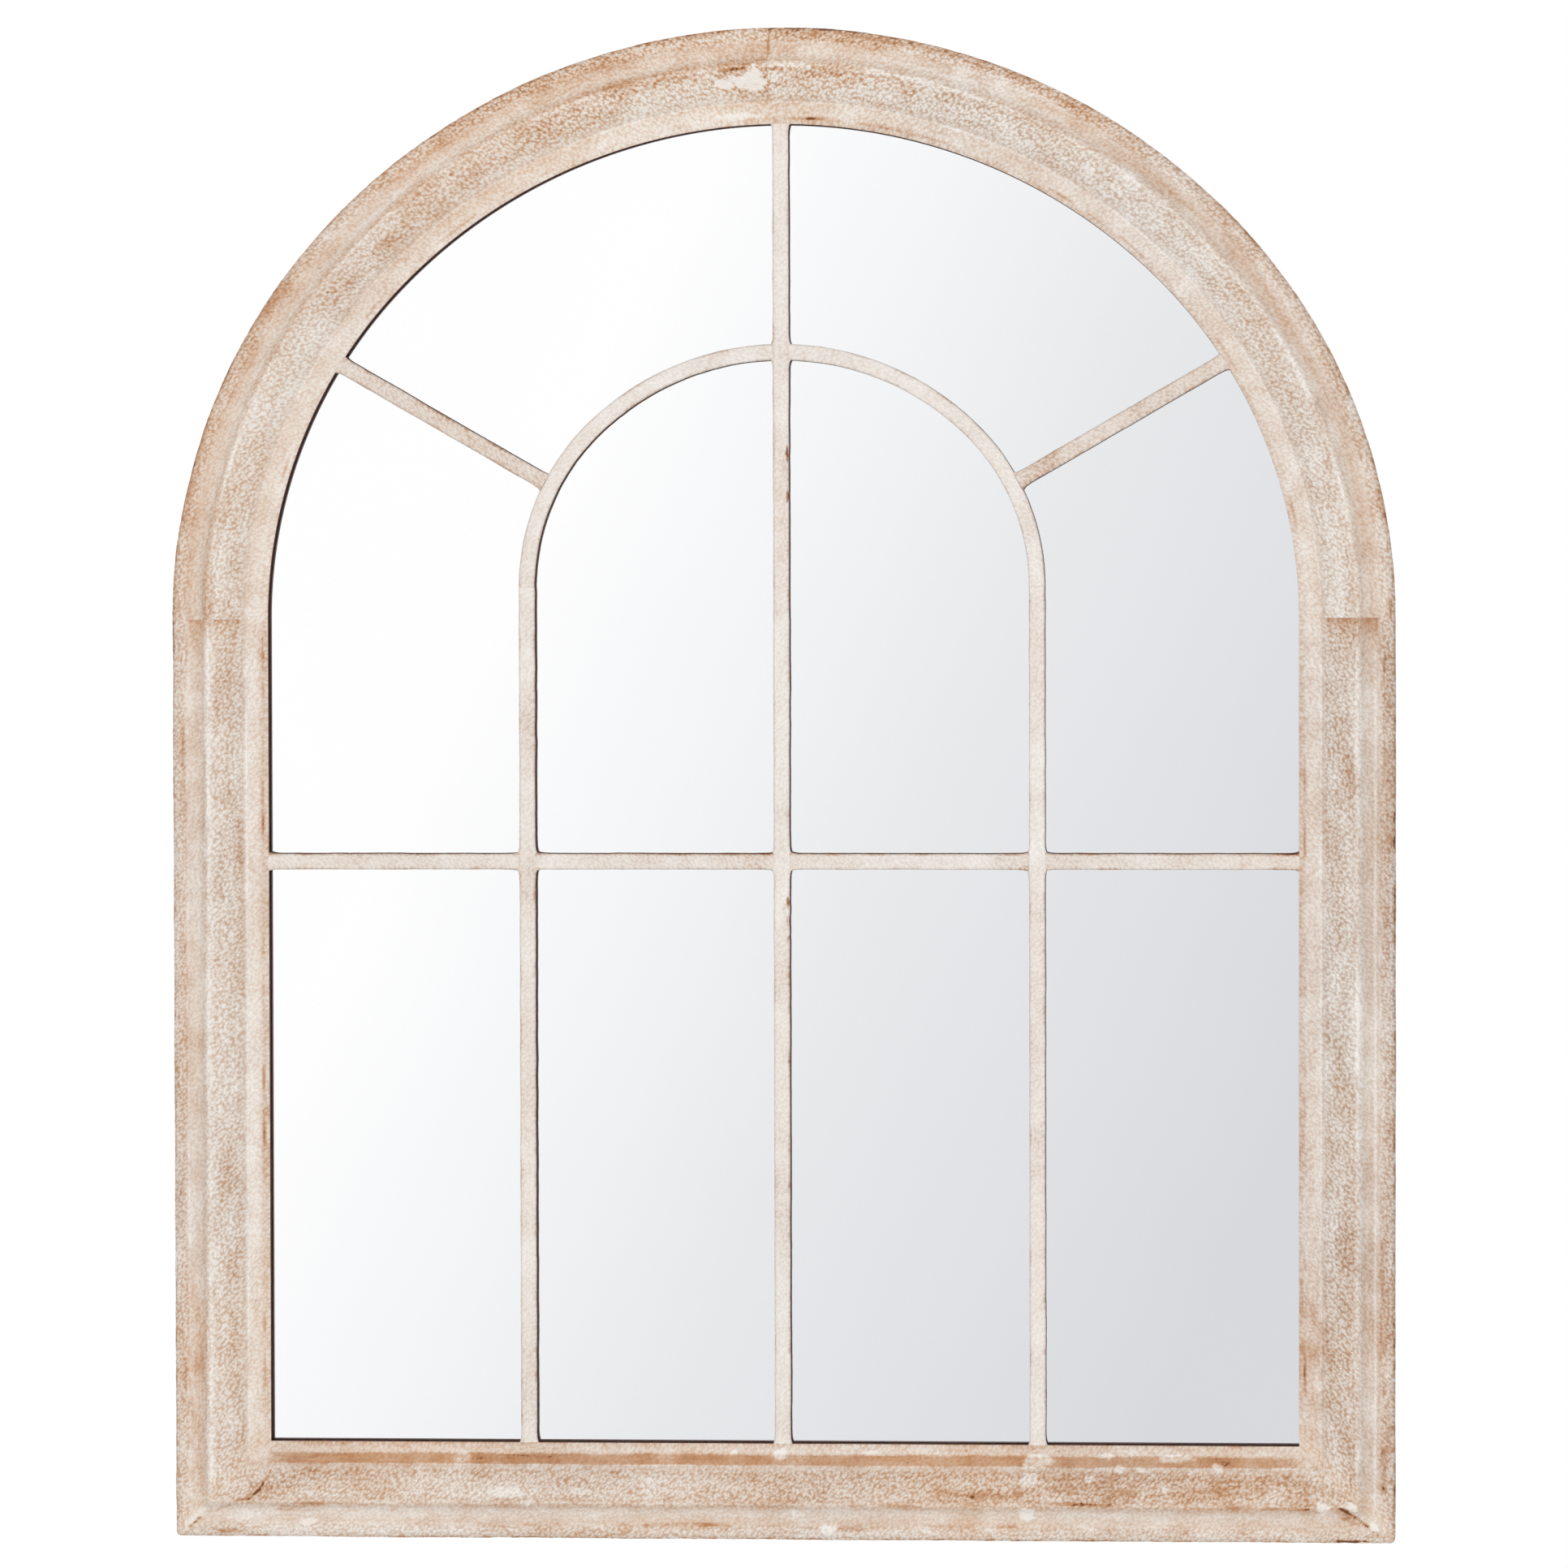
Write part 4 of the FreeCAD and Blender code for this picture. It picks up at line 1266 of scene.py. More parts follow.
@dataclass
class MouldedMember(PaintedTimber):
    """A moulded member of the frame, worn by bands across its section."""

    bands: tuple[Band, ...] = ()
    step: float = 1.2 * MM
    edge: float = 0.7
    rub: float = 0.4
    mottle: float = 0.16
    waves: tuple[Swell, ...] = (Swell(0.20, 55, 1), Swell(0.09, 8, 2))
    dabs: Swell = Swell(1.0, 2.8, 3)
    dab_heights: Point3 = (0.03, 0.06, 0.09)
    bead_end: Point2 = (5 * MM, 8 * MM)
    chips: Swell = Swell(1.0, 9, 4, base=-0.1, low=0.0)
    chip_width: float = 1.1 * MM
    wander: tuple[Swell, ...] = (Swell(0.35 * MM, 20, 9), Swell(0.25 * MM, 3.5, 10))
    clouds: tuple[Swell, ...] = (Swell(0.07, 70, 5), Swell(0.09, 14, 6))
    brushed: tuple[Swell, ...] = (Swell(0.85, 6, 12), Swell(0.45, 1.8, 13))
    brush_stretch: float = 0.15
    highlight_kept: Swell = Swell(0.6, 35, 14, base=0.7, low=0.0, high=1.3)
    rubbed: Swell = Swell(1.0, 13, 7, low=0.0)
    sight_line: float = 50.8 * MM
    bead_line: float = 8.8 * MM
    bead_rub: float = 0.15
    rub_width: float = 0.9 * MM
    dashes: Swell = Swell(1.0, 8, 8, base=0.2, low=0.0, high=0.8)
    dash_fade: Point2 = (0.5 * MM, 2.1 * MM)
    back_dash: float = 0.25
    back_fade: float = 1.2 * MM
    side_limit: float = 0.72
    front_limit: float = 0.3
    limit_rise: float = 0.8 * MM

    def section(
        self, bm: bmesh.types.BMesh, turn: Matrix, place: Vector
    ) -> list[bmesh.types.BMEdge]:
        """Draw the moulding's section where the sweep starts.

        Args:
            bm: the mesh that takes the section.
            turn: turn from the section's own plane.
            place: where the outer back corner stands.

        Returns:
            The section's edges.
        """
        edges = MOULDING.draw(bm)
        bmesh.ops.transform(bm, matrix=Matrix.Translation(place) @ turn, verts=bm.verts)
        return edges

    def coats(self, inset: np.ndarray, height: np.ndarray) -> np.ndarray:
        """Choose face coats: painted front and side, stained sight edge, bare back and rebate.

        Args:
            inset: place of each face across the section, in metres.
            height: height of each face in front of the back, in metres.

        Returns:
            Material slot per face.
        """
        chosen = np.full(len(inset), Coat.LIMEWASH)
        sight = (inset > FACE_WIDTH - 0.25 * MM) & (height < SIGHT_HEIGHT - 0.15 * MM)
        chosen[sight] = Coat.RETURN
        rebate = (inset > PANEL_REBATE) & (height < GLASS_FRONT + 0.2 * MM)
        chosen[(height < 0.4 * MM) | rebate] = Coat.BARE
        return chosen

    def grit(self, surface: Surface) -> np.ndarray:
        """Work out how strongly the dabs show: most on the slope and the outer bead."""
        return banded(GRIT_BANDS, surface.inset)

    def relief(self, surface: Surface) -> np.ndarray:
        """Work out the hand-worked waviness, dabs of paint and rubbed arrises.

        Args:
            surface: the member's points.

        Returns:
            Height above the ruled shape per point, in metres.
        """
        points, inset, height = surface.points, surface.inset, surface.height
        painted = ramp(height, 1 * MM, 4 * MM) * (1 - ramp(inset, 53.2 * MM, FACE_WIDTH))
        painted[(inset > PANEL_REBATE - 0.5 * MM) & (height < 14 * MM)] = 0.0
        shape = heap(self.waves, points)
        everywhere, on_slope, on_bead = self.dab_heights
        bead = 1 - ramp(inset, *self.bead_end)
        dabbed = everywhere + on_slope * between(inset, *SLOPE) + on_bead * bead
        shape += dabbed * self.dabs.over(points)
        chips = self.chips.over(points)
        for arris, depth in ARRISES:
            shape -= depth * chips * bell(inset, arris * MM, self.chip_width)
        shape += self.joints(surface) / MM
        return shape * painted * MM

    def joints(self, surface: Surface) -> np.ndarray:
        """Work out how the surface rises or sinks at the member's ends, in metres."""
        return np.zeros(len(surface.points))

    def wear(self, surface: Surface) -> np.ndarray:
        """Work out the wear from bands, clouds, arrises and joints, with painted highlights along three
        arrises.

        Args:
            surface: the member's points.

        Returns:
            Wear per point.
        """
        points, inset, girth = surface.points, surface.inset, surface.girth
        worn = banded(self.bands, inset + heap(self.wander, points, self.seed))
        worn += heap(self.clouds, points, self.seed)
        wiped = surface.drawn_out(girth, self.brush_stretch)
        brushed = heap(self.brushed, wiped, self.seed)
        worn += self.mottle * banded(MOTTLE_BANDS, inset) * brushed
        # Painted highlights: paler lines along the arrises where light catches them.
        kept = self.highlight_kept.over(points, self.seed)
        for line, paler, width in PAINTED_HIGHLIGHT_LINES:
            worn -= paler * kept * bell(inset, line * MM, width * MM)
        rubbed = self.rubbed.over(points, self.seed)
        worn += self.rub * rubbed * bell(inset, self.sight_line, self.rub_width)
        worn += self.bead_rub * rubbed * bell(inset, self.bead_line, self.rub_width)
        dashes = self.dashes.over(points, self.seed)
        worn += self.edge * dashes * (1 - ramp(np.abs(girth), *self.dash_fade))
        worn += self.back_dash * dashes * bell(girth, -SIDE_FRONT, self.back_fade)
        # The sides show stain but no bare dark wood.
        limit = self.side_limit + self.front_limit * ramp(girth, 0.0, self.limit_rise)
        return self.at_joints(surface, np.minimum(worn, limit))

    def at_joints(self, surface: Surface, worn: np.ndarray) -> np.ndarray:
        """Change the wear round the member's ends."""
        return worn


def along_joint(ways: np.ndarray, rim: np.ndarray, axis: int) -> np.ndarray:
    """Keep directions at a joint's rim in the plane of the joint.

    Args:
        ways: one direction per point.
        rim: which points lie on the joint.
        axis: number of the axis that crosses the joint.

    Returns:
        The directions, those of the rim flattened and of length one.
    """
    kept = ways.copy()
    kept[rim, axis] = 0.0
    kept[rim] /= np.maximum(np.linalg.norm(kept[rim], axis=1), 1e-6)[:, None]
    return kept


def joint_face(inset: np.ndarray) -> np.ndarray:
    """Tell which part of the section stands back from its neighbour at a spring joint."""
    return between(inset, *SPRING_STEP)


# How far paint and warmth carry over a spring joint, and the warmth there on the left and right
PAINT_CARRY = 14 * MM
PAINT_CLOUDS = Swell(0.10, 11, 62)
WARMTH_CARRY = 22 * MM
SPRING_WARMTH: Point2 = (0.6, 0.35)


def carry_paint(surface: Surface, worn: np.ndarray) -> np.ndarray:
    """Carry the paint across a spring joint where the section does not step.

    Args:
        surface: points of either neighbour.
        worn: wear of the points.

    Returns:
        The wear, brought to one value on both sides of the joint.
    """
    shared = banded(SPRING_BANDS, surface.inset) + PAINT_CLOUDS.over(surface.points)
    away = np.abs(surface.points[:, 2] - SPRING)
    near = np.exp(-away / PAINT_CARRY) * (1 - joint_face(surface.inset))
    return worn * (1 - near) + shared * near


def carry_warmth(surface: Surface, warm: np.ndarray) -> np.ndarray:
    """Bring both sides of a spring joint to one warmth, warmer on the left of the frame."""
    near = np.exp(-np.abs(surface.points[:, 2] - SPRING) / WARMTH_CARRY)
    return warm * (1 - near) + np.where(surface.points[:, 0] < 0, *SPRING_WARMTH) * near


def mitre_near(points: np.ndarray, width: float) -> np.ndarray:
    """Tell how near points lie to a bottom mitre, one on it and fading over the width."""
    out, up = HALF_WIDTH - np.abs(points[:, 0]), points[:, 2] - FOOT
    return bell((out - up) / math.sqrt(2), 0.0, width)


@dataclass
class MitredMember(MouldedMember):
    """A straight member whose mitres are filled and painted over as one with its neighbour."""

    mitre_move: float = 5 * MM
    mitre_paint: float = 9 * MM
    mitre_warmth: float = 0.65
    lumps: tuple[Swell, ...] = (Swell(0.22, 7, 66), Swell(0.12, 3, 67))
    lump_width: float = 8 * MM
    filler_tone: float = 0.36
    filler: tuple[Swell, ...] = (Swell(0.09, 14, 64), Swell(0.07, 5, 65))

    def adjust(self, points: np.ndarray) -> None:
        """Round the foot's outer corners as the front shows them.

        Args:
            points: one row of X, Y, Z per point, which are moved.
        """
        hand = np.sign(points[:, 0])
        out = CORNER_ROUND - (HALF_WIDTH - np.abs(points[:, 0]))
        down = CORNER_ROUND - (points[:, 2] - FOOT)
        far = np.hypot(out, down)
        outside = (out > 0) & (down > 0) & (far > CORNER_ROUND)
        pull = np.where(outside, CORNER_ROUND / np.maximum(far, 1e-9), 1.0)
        points[:, 0] -= hand * np.where(outside, out * (1 - pull), 0.0)
        points[:, 2] += np.where(outside, down * (1 - pull), 0.0)

    def outward(self, surface: Surface) -> np.ndarray:
        """Roughen straight to the front near a mitre, so that its two sides move together."""
        near = mitre_near(surface.points, self.mitre_move)[:, None]
        return surface.normals * (1 - near) + np.array((0.0, -1.0, 0.0)) * near

    def tint(self, surface: Surface, worn: np.ndarray) -> np.ndarray:
        """Bring both sides of a mitre to one warmth."""
        near = mitre_near(surface.points, self.mitre_paint)
        return super().tint(surface, worn) * (1 - near) + self.mitre_warmth * near

    def joints(self, surface: Surface) -> np.ndarray:
        """Lay lumps of filler over the mitres."""
        lumps = heap(self.lumps, surface.points)
        return MM * lumps * mitre_near(surface.points, self.lump_width)

    def at_joints(self, surface: Surface, worn: np.ndarray) -> np.ndarray:
        """Paint the filler over the mitres.

        Args:
            surface: the member's points.
            worn: their wear so far.

        Returns:
            Wear per point.
        """
        near = mitre_near(surface.points, self.mitre_paint)
        filler = self.filler_tone + heap(self.filler, surface.points)
        return worn * (1 - near) + filler * near


@dataclass
class Stile(MitredMember):
    """A straight upright member, mitred at the foot and butted to the arch at the spring."""

    side: Side = Side.LEFT
    # Sizes of the stain and painted shadow under the spring joint
    stain_shadow_mm: float = 10.0
    top_row: float = 0.5 * MM
    sunk: float = 0.4 * MM
    sunk_fade: float = 13 * MM
    stain_shadow_edge: Swell = Swell(0.4, 14, 11, base=1.0)
    stain_shadow_shares: Point2 = (0.16, 0.24)
    stain_shadow_line: float = 3.5 * MM
    stain_warmth: float = 0.3
    stain_glow: float = 18 * MM
    foot_warmth: float = 0.4
    foot_end: Point2 = (60 * MM, 220 * MM)

    def sweep(self, bm: bmesh.types.BMesh) -> None:
        """Run the moulding up from the foot and cut its mitre.

        Args:
            bm: the empty mesh that takes the timber.
        """
        edges = self.section(bm, Matrix(), Vector((-HALF_WIDTH, BACK, FOOT)))
        run_straight(bm, edges, Vector((0, 0, SPRING - FOOT)), self.step)
        cut(bm, Vector((-HALF_WIDTH, 0, FOOT)), Vector((1, 0, -1)).normalized())
        cut(bm, Vector((0, 0, SPRING - self.top_row)), Vector((0, 0, 1)), clear=False)
        if self.side is Side.RIGHT:
            bmesh.ops.scale(bm, vec=(-1, 1, 1), verts=bm.verts)

    def measure(self, points: np.ndarray) -> tuple[np.ndarray, np.ndarray, np.ndarray]:
        """Measure points up from the foot, in from the outer edge and out from the back."""
        return points[:, 2] - FOOT, HALF_WIDTH - self.side.value * points[:, 0], BACK - points[:, 1]

    def outward(self, surface: Surface) -> np.ndarray:
        """Keep the stile's top closed against the arch."""
        return along_joint(super().outward(surface), surface.points[:, 2] > SPRING - RIM, 2)

    def joints(self, surface: Surface) -> np.ndarray:
        """Sink the stile's face a little under the arch at the spring."""
        near = np.exp(-(SPRING - surface.points[:, 2]) / self.sunk_fade)
        return super().joints(surface) - self.sunk * joint_face(surface.inset) * near

    def at_joints(self, surface: Surface, worn: np.ndarray) -> np.ndarray:
        """Stain the face under the spring joint and darken it: real stain, and a painted shadow of the
        arch's end above.

        Args:
            surface: the member's points.
            worn: their wear so far.

        Returns:
            Wear per point.
        """
        below = SPRING - surface.points[:, 2]
        depth = self.stain_shadow_mm * MM * self.stain_shadow_edge.over(surface.points, self.seed)
        close, deep = self.stain_shadow_shares
        # Painted shadow as well as stain: darkest just under the arch's end, fading downwards.
        stain_and_shadow = close * np.exp(-below / self.stain_shadow_line) + deep * np.exp(-below / depth)
        worn = carry_paint(surface, worn) + joint_face(surface.inset) * stain_and_shadow
        return super().at_joints(surface, worn)

    def tint(self, surface: Surface, worn: np.ndarray) -> np.ndarray:
        """Warm the foot, meet the arch's warmth at the spring and warm the stain and painted shadow under
        it.

        Args:
            surface: the member's points.
            worn: their wear.

        Returns:
            Warmth per point.
        """
        foot = 1 - ramp(surface.along, *self.foot_end)
        below = SPRING - surface.points[:, 2]
        stain_and_shadow = joint_face(surface.inset) * np.exp(-below / self.stain_glow)
        warm = carry_warmth(surface, super().tint(surface, worn) + self.foot_warmth * foot)
        return warm + self.stain_warmth * stain_and_shadow


@dataclass
class BottomRail(MitredMember):
    """The level member between the two bottom mitres."""

    def sweep(self, bm: bmesh.types.BMesh) -> None:
        """Run the moulding across and cut both mitres.

        Args:
            bm: the empty mesh that takes the timber.
        """
        level = Matrix.Rotation(-math.pi / 2, 4, "Y")
        edges = self.section(bm, level, Vector((-HALF_WIDTH, BACK, FOOT)))
        run_straight(bm, edges, Vector((2 * HALF_WIDTH, 0, 0)), self.step)
        for hand in (-1, 1):
            cut(bm, Vector((hand * HALF_WIDTH, 0, FOOT)), Vector((hand, 0, 1)).normalized())

    def measure(self, points: np.ndarray) -> tuple[np.ndarray, np.ndarray, np.ndarray]:
        """Measure points along from the middle, up from the foot and out from the back."""
        return points[:, 0].copy(), points[:, 2] - FOOT, BACK - points[:, 1]


@dataclass
class ArchHalf(MouldedMember):
    """Half of the moulded head, from its spring to the crown joint."""

    side: Side = Side.LEFT
    crown_row: float = 0.6 * MM
    spring_rows: Point2 = (0.4 * MM, 1.0 * MM)
    crown_grit: float = 0.35
    grit_below: Point2 = (110 * MM, 30 * MM)
    crown_warmth: float = 0.4
    warm_below: Point2 = (100 * MM, 15 * MM)
    shoulder: tuple[Point2, ...] = ((0.15, 16 * MM), (-0.50, 2.2 * MM))
    gap_depth: float = 0.25
    gap_width: float = 0.9 * MM
    gap_end: Point2 = (14 * MM, 18 * MM)
    crack_end: Point2 = (12 * MM, 18 * MM)
    crack_shares: Point2 = (0.05, 0.35)
    crack_width: float = 0.8 * MM
    crack_broken: Swell = Swell(0.5, 8, 71, base=0.7)
    head_start: float = 200 * MM

    def sweep(self, bm: bmesh.types.BMesh) -> None:
        """Turn the moulding over to the crown and cut it at the joint.

        Args:
            bm: the empty mesh that takes the timber.
        """
        edges = self.section(bm, Matrix(), Vector((-HALF_WIDTH, BACK, SPRING)))
        FRAME_ARCH.sweep(bm, edges, self.step)
        joint = Vector((CROWN_JOINT * -self.side.value, 0, 0))
        cut(bm, joint, Vector((1, 0, 0)))
        cut(bm, joint - Vector((self.crown_row, 0, 0)), Vector((1, 0, 0)), clear=False)
        for above in self.spring_rows:
            cut(bm, Vector((0, 0, SPRING + above)), Vector((0, 0, -1)), clear=False)
        if self.side is Side.RIGHT:
            bmesh.ops.scale(bm, vec=(-1, 1, 1), verts=bm.verts)

    def adjust(self, points: np.ndarray) -> None:
        """Make the facets round."""
        FRAME_ARCH.true_up(self.side, points)

    def measure(self, points: np.ndarray) -> tuple[np.ndarray, np.ndarray, np.ndarray]:
        """Measure points round from the spring, in from the outer edge and out from the back.

        Args:
            points: one row of X, Y, Z per point, in metres.

        Returns:
            Place along, inset across and height in front of the back, per point.
        """
        turned, inset = FRAME_ARCH.measure(self.side, points)
        _, haunch, _, crown = FRAME_ARCH.solve()
        turn, middle = FRAME_ARCH.turn, FACE_WIDTH / 2
        along = np.where(
            turned <= turn,
            turned * (haunch - middle),
            turn * (haunch - middle) + (turned - turn) * (crown - middle),
        )
        return along, inset, BACK - points[:, 1]

    def outward(self, surface: Surface) -> np.ndarray:
        """Keep the arch closed against the stile and against its other half.

        Args:
            surface: the arch's points.

        Returns:
            Direction per point.
        """
        points = surface.points
        ways = along_joint(super().outward(surface), points[:, 2] < SPRING + RIM, 2)
        return along_joint(ways, np.abs(points[:, 0] - CROWN_JOINT) < RIM, 0)

    def towards_crown(self, surface: Surface, below: Point2) -> np.ndarray:
        """Give a rise towards the crown between two depths below it."""
        far, near = below
        return ramp(surface.points[:, 2], CROWN - far, CROWN - near)

    def grit(self, surface: Surface) -> np.ndarray:
        """Coarsen the dabs towards the crown."""
        near = self.towards_crown(surface, self.grit_below)
        return super().grit(surface) * (1 + self.crown_grit * near)

    def tint(self, surface: Surface, worn: np.ndarray) -> np.ndarray:
        """Warm the stain towards the crown."""
        near = self.towards_crown(surface, self.warm_below)
        return carry_warmth(surface, super().tint(surface, worn) + self.crown_warmth * near)

    def joints(self, surface: Surface) -> np.ndarray:
        """Round the arch's shoulder over the spring joint and open the crown joint's outer part.

        Args:
            surface: the arch's points.

        Returns:
            Rise per point, in metres.
        """
        above = surface.points[:, 2] - SPRING
        shoulder = sum(height * np.exp(-above / fade) for height, fade in self.shoulder)
        beside = np.abs(surface.points[:, 0] - CROWN_JOINT)
        outer = 1 - ramp(surface.inset, *self.gap_end)
        opened = self.gap_depth * (1 - ramp(beside, 0.0, self.gap_width)) * outer
        return MM * (joint_face(surface.inset) * shoulder - opened)

    def at_joints(self, surface: Surface, worn: np.ndarray) -> np.ndarray:
        """Darken the crown joint, most on its outer part, and paint over the spring joint.

        Args:
            surface: the member's points.
            worn: their wear so far.

        Returns:
            Wear per point.
        """
        points = surface.points
        beside = np.abs(points[:, 0] - CROWN_JOINT)
        outer = 1 - ramp(surface.inset, *self.crack_end)
        everywhere, at_outer = self.crack_shares
        crack = (everywhere + at_outer * outer) * self.crack_broken.over(points)
        cracked = crack * bell(beside, 0.0, self.crack_width)
        opened = np.where(points[:, 2] > SPRING + self.head_start, cracked, 0.0)
        return carry_paint(surface, worn) + opened


BAR_WIDTH = 9 * MM
BAR_SECTION = Section(
    (
        Run(-4.5, 14.1, step=1.2),
        Run(-3.0, 15.6, bow=0.439, step=0.35),
        Run(3.0, 15.6, step=0.75),
        Run(4.5, 14.1, bow=0.439, step=0.35),
        Run(4.5, 9.2, step=1.2),
        Run(-4.5, 9.2, step=3.0),
    ),
    soften=0,
)


@dataclass
class GlazingBar(PaintedTimber):
    """A slim painted bar that lies on the pane."""

    tone: float = 0.28
    step: float = 1.1 * MM
    side_front: float = 13.9 * MM
    rough_height: Point2 = (12.2 * MM, 14.4 * MM)
    waves: tuple[Swell, ...] = (Swell(0.14, 14, 0), Swell(0.07, 4, 1))
    clouds: tuple[Swell, ...] = (Swell(0.12, 45, 4), Swell(0.07, 11, 5))
    arris: Point2 = (2.6 * MM, 4.3 * MM)
    edge_wear: Swell = Swell(1.0, 14, 3, low=0.0)
    edge_shade_and_wear: Point2 = (0.04, 0.28)

    def coats(self, inset: np.ndarray, height: np.ndarray) -> np.ndarray:
        """Choose face coats: painted front, stained sides, bare underside.

        Args:
            inset: place of each face across the bar, in metres.
            height: height of each face in front of the frame's back, in metres.

        Returns:
            Material slot per face.
        """
        chosen = np.full(len(inset), Coat.LIMEWASH)
        chosen[height < self.side_front] = Coat.RETURN
        chosen[height < GLASS_FRONT + 0.1 * MM] = Coat.BARE
        return chosen

    def relief(self, surface: Surface) -> np.ndarray:
        """Work out the brushed paint's waviness.

        Args:
            surface: the bar's points.

        Returns:
            Height above the ruled shape per point, in metres.
        """
        front = ramp(surface.height, *self.rough_height)
        return front * heap(self.waves, surface.points, self.seed) * MM

    def wear(self, surface: Surface) -> np.ndarray:
        """Work out the wear: even on the front, more along the rounded edges: a little painted shade all
        along them, and rubbed stain where the noise lifts it.

        Args:
            surface: the bar's points.

        Returns:
            Wear per point.
        """
        edge = ramp(np.abs(surface.inset), *self.arris)
        rubbed = self.edge_wear.over(surface.points, self.seed)
        worn = self.tone + heap(self.clouds, surface.points, self.seed)
        # Painted shade along the rounded edges, with rubbed stain on top of it.
        edge_shade, more = self.edge_shade_and_wear
        return worn + edge * (edge_shade + more * rubbed)


@dataclass
class StraightBar(GlazingBar):
    """A straight glazing bar between two points of the front, given out and up."""

    start: Point2 = (0.0, 0.0)
    end: Point2 = (0.0, 0.0)
    crossed: tuple[float, ...] = ()
    fillet: float = 1.8 * MM
    swell: float = 0.28

    @property
    def heading(self) -> Vector:
        """Direction of the bar in the plane of the front."""
        return (Vector(self.end) - Vector(self.start)).normalized()

    @property
    def length(self) -> float:
        """Length of the bar in metres."""
        return (Vector(self.end) - Vector(self.start)).length

    def sweep(self, bm: bmesh.types.BMesh) -> None:
        """Run the section from start to end.

        Args:
            bm: the empty mesh that takes the timber.
        """
        edges = BAR_SECTION.draw(bm)
        run_straight(bm, edges, Vector((0, 0, self.length)), self.step)
        turn = Matrix.Rotation(math.atan2(self.heading.x, self.heading.y), 4, "Y")
        place = Matrix.Translation((self.start[0], BACK, self.start[1]))
        bmesh.ops.transform(bm, matrix=place @ turn, verts=bm.verts)

    def measure(self, points: np.ndarray) -> tuple[np.ndarray, np.ndarray, np.ndarray]:
        """Measure points along from the start, across from the middle and out from the back.

        Args:
            points: one row of X, Y, Z per point, in metres.

        Returns:
            Place along, inset across and height in front of the back, per point.
        """
        ahead = self.heading
        out, up = points[:, 0] - self.start[0], points[:, 2] - self.start[1]
        return out * ahead.x + up * ahead.y, out * ahead.y - up * ahead.x, BACK - points[:, 1]

    def adjust(self, points: np.ndarray) -> None:
        """Swell the bar where paint has gathered in its joints.

        Args:
            points: one row of X, Y, Z per point, which are moved.
        """
        along, inset, _ = self.measure(points)
        near = np.zeros(len(points))
        for place in self.crossed:
            near += np.exp(-np.maximum(0.0, np.abs(along - place) - BAR_WIDTH / 2) / self.fillet)
        aside = self.swell * np.minimum(near, 1.0) * inset
        points[:, 0] += aside * self.heading.y
        points[:, 2] -= aside * self.heading.x


@dataclass
class CrossBar(StraightBar):
    """The level bar, halved into the three bars that cross it."""

    crossings: tuple[float, ...] = ()
    lap_rows: Point2 = (4.48 * MM, 4.53 * MM)
    lap_gap: float = 0.05 * MM
    upper_arris: Point2 = (3.2 * MM, 4.4 * MM)
    upper_shade: float = 0.22

    def sweep(self, bm: bmesh.types.BMesh) -> None:
        """Run the bar and divide it at its halvings."""
        super().sweep(bm)
        for middle in self.crossings:
            for hand in (-1, 1):
                for half in self.lap_rows:
                    cut(bm, Vector((middle + hand * half, 0, 0)), Vector((1, 0, 0)), clear=False)

    def adjust(self, points: np.ndarray) -> None:
        """Swell the bar, and press its front down to the lap where another bar crosses over it."""
        super().adjust(points)
        for middle in self.crossings:
            under = np.abs(points[:, 0] - middle) < BAR_WIDTH / 2
            points[under, 1] = np.maximum(points[under, 1], BACK - (LAP_HEIGHT - self.lap_gap))

    def wear(self, surface: Surface) -> np.ndarray:
        """Darken the bar's upper arris more than the lower one: painted shade where the top flank and the
        gap above it show dark.
        """
        above = ramp(-surface.inset, *self.upper_arris)
        return super().wear(surface) + self.upper_shade * above


@dataclass
class InnerArchBar(GlazingBar):
    """A curved glazing bar from an upright over to the centre bar."""

    side: Side = Side.LEFT
    centre_gap: float = 0.02 * MM
    haunch_in: float = 8 * MM

    def sweep(self, bm: bmesh.types.BMesh) -> None:
        """Turn the section over from the spring and cut it at the centre bar.

        Args:
            bm: the empty mesh that takes the timber.
        """
        edges = BAR_SECTION.draw(bm)
        bmesh.ops.translate(
            bm, vec=(-INNER_ARCH.half_span, BACK, INNER_ARCH.spring), verts=bm.verts
        )
        INNER_ARCH.sweep(bm, edges, self.step)
        cut(bm, Vector((-BAR_WIDTH / 2 - self.centre_gap, 0, 0)), Vector((1, 0, 0)))
        if self.side is Side.RIGHT:
            bmesh.ops.scale(bm, vec=(-1, 1, 1), verts=bm.verts)

    def adjust(self, points: np.ndarray) -> None:
        """Make the facets round."""
        INNER_ARCH.true_up(self.side, points)

    def measure(self, points: np.ndarray) -> tuple[np.ndarray, np.ndarray, np.ndarray]:
        """Measure points round from the spring, across from the middle and out from the back."""
        turned, inset = INNER_ARCH.measure(self.side, points)
        return turned * (INNER_ARCH.half_span - self.haunch_in), inset, BACK - points[:, 1]
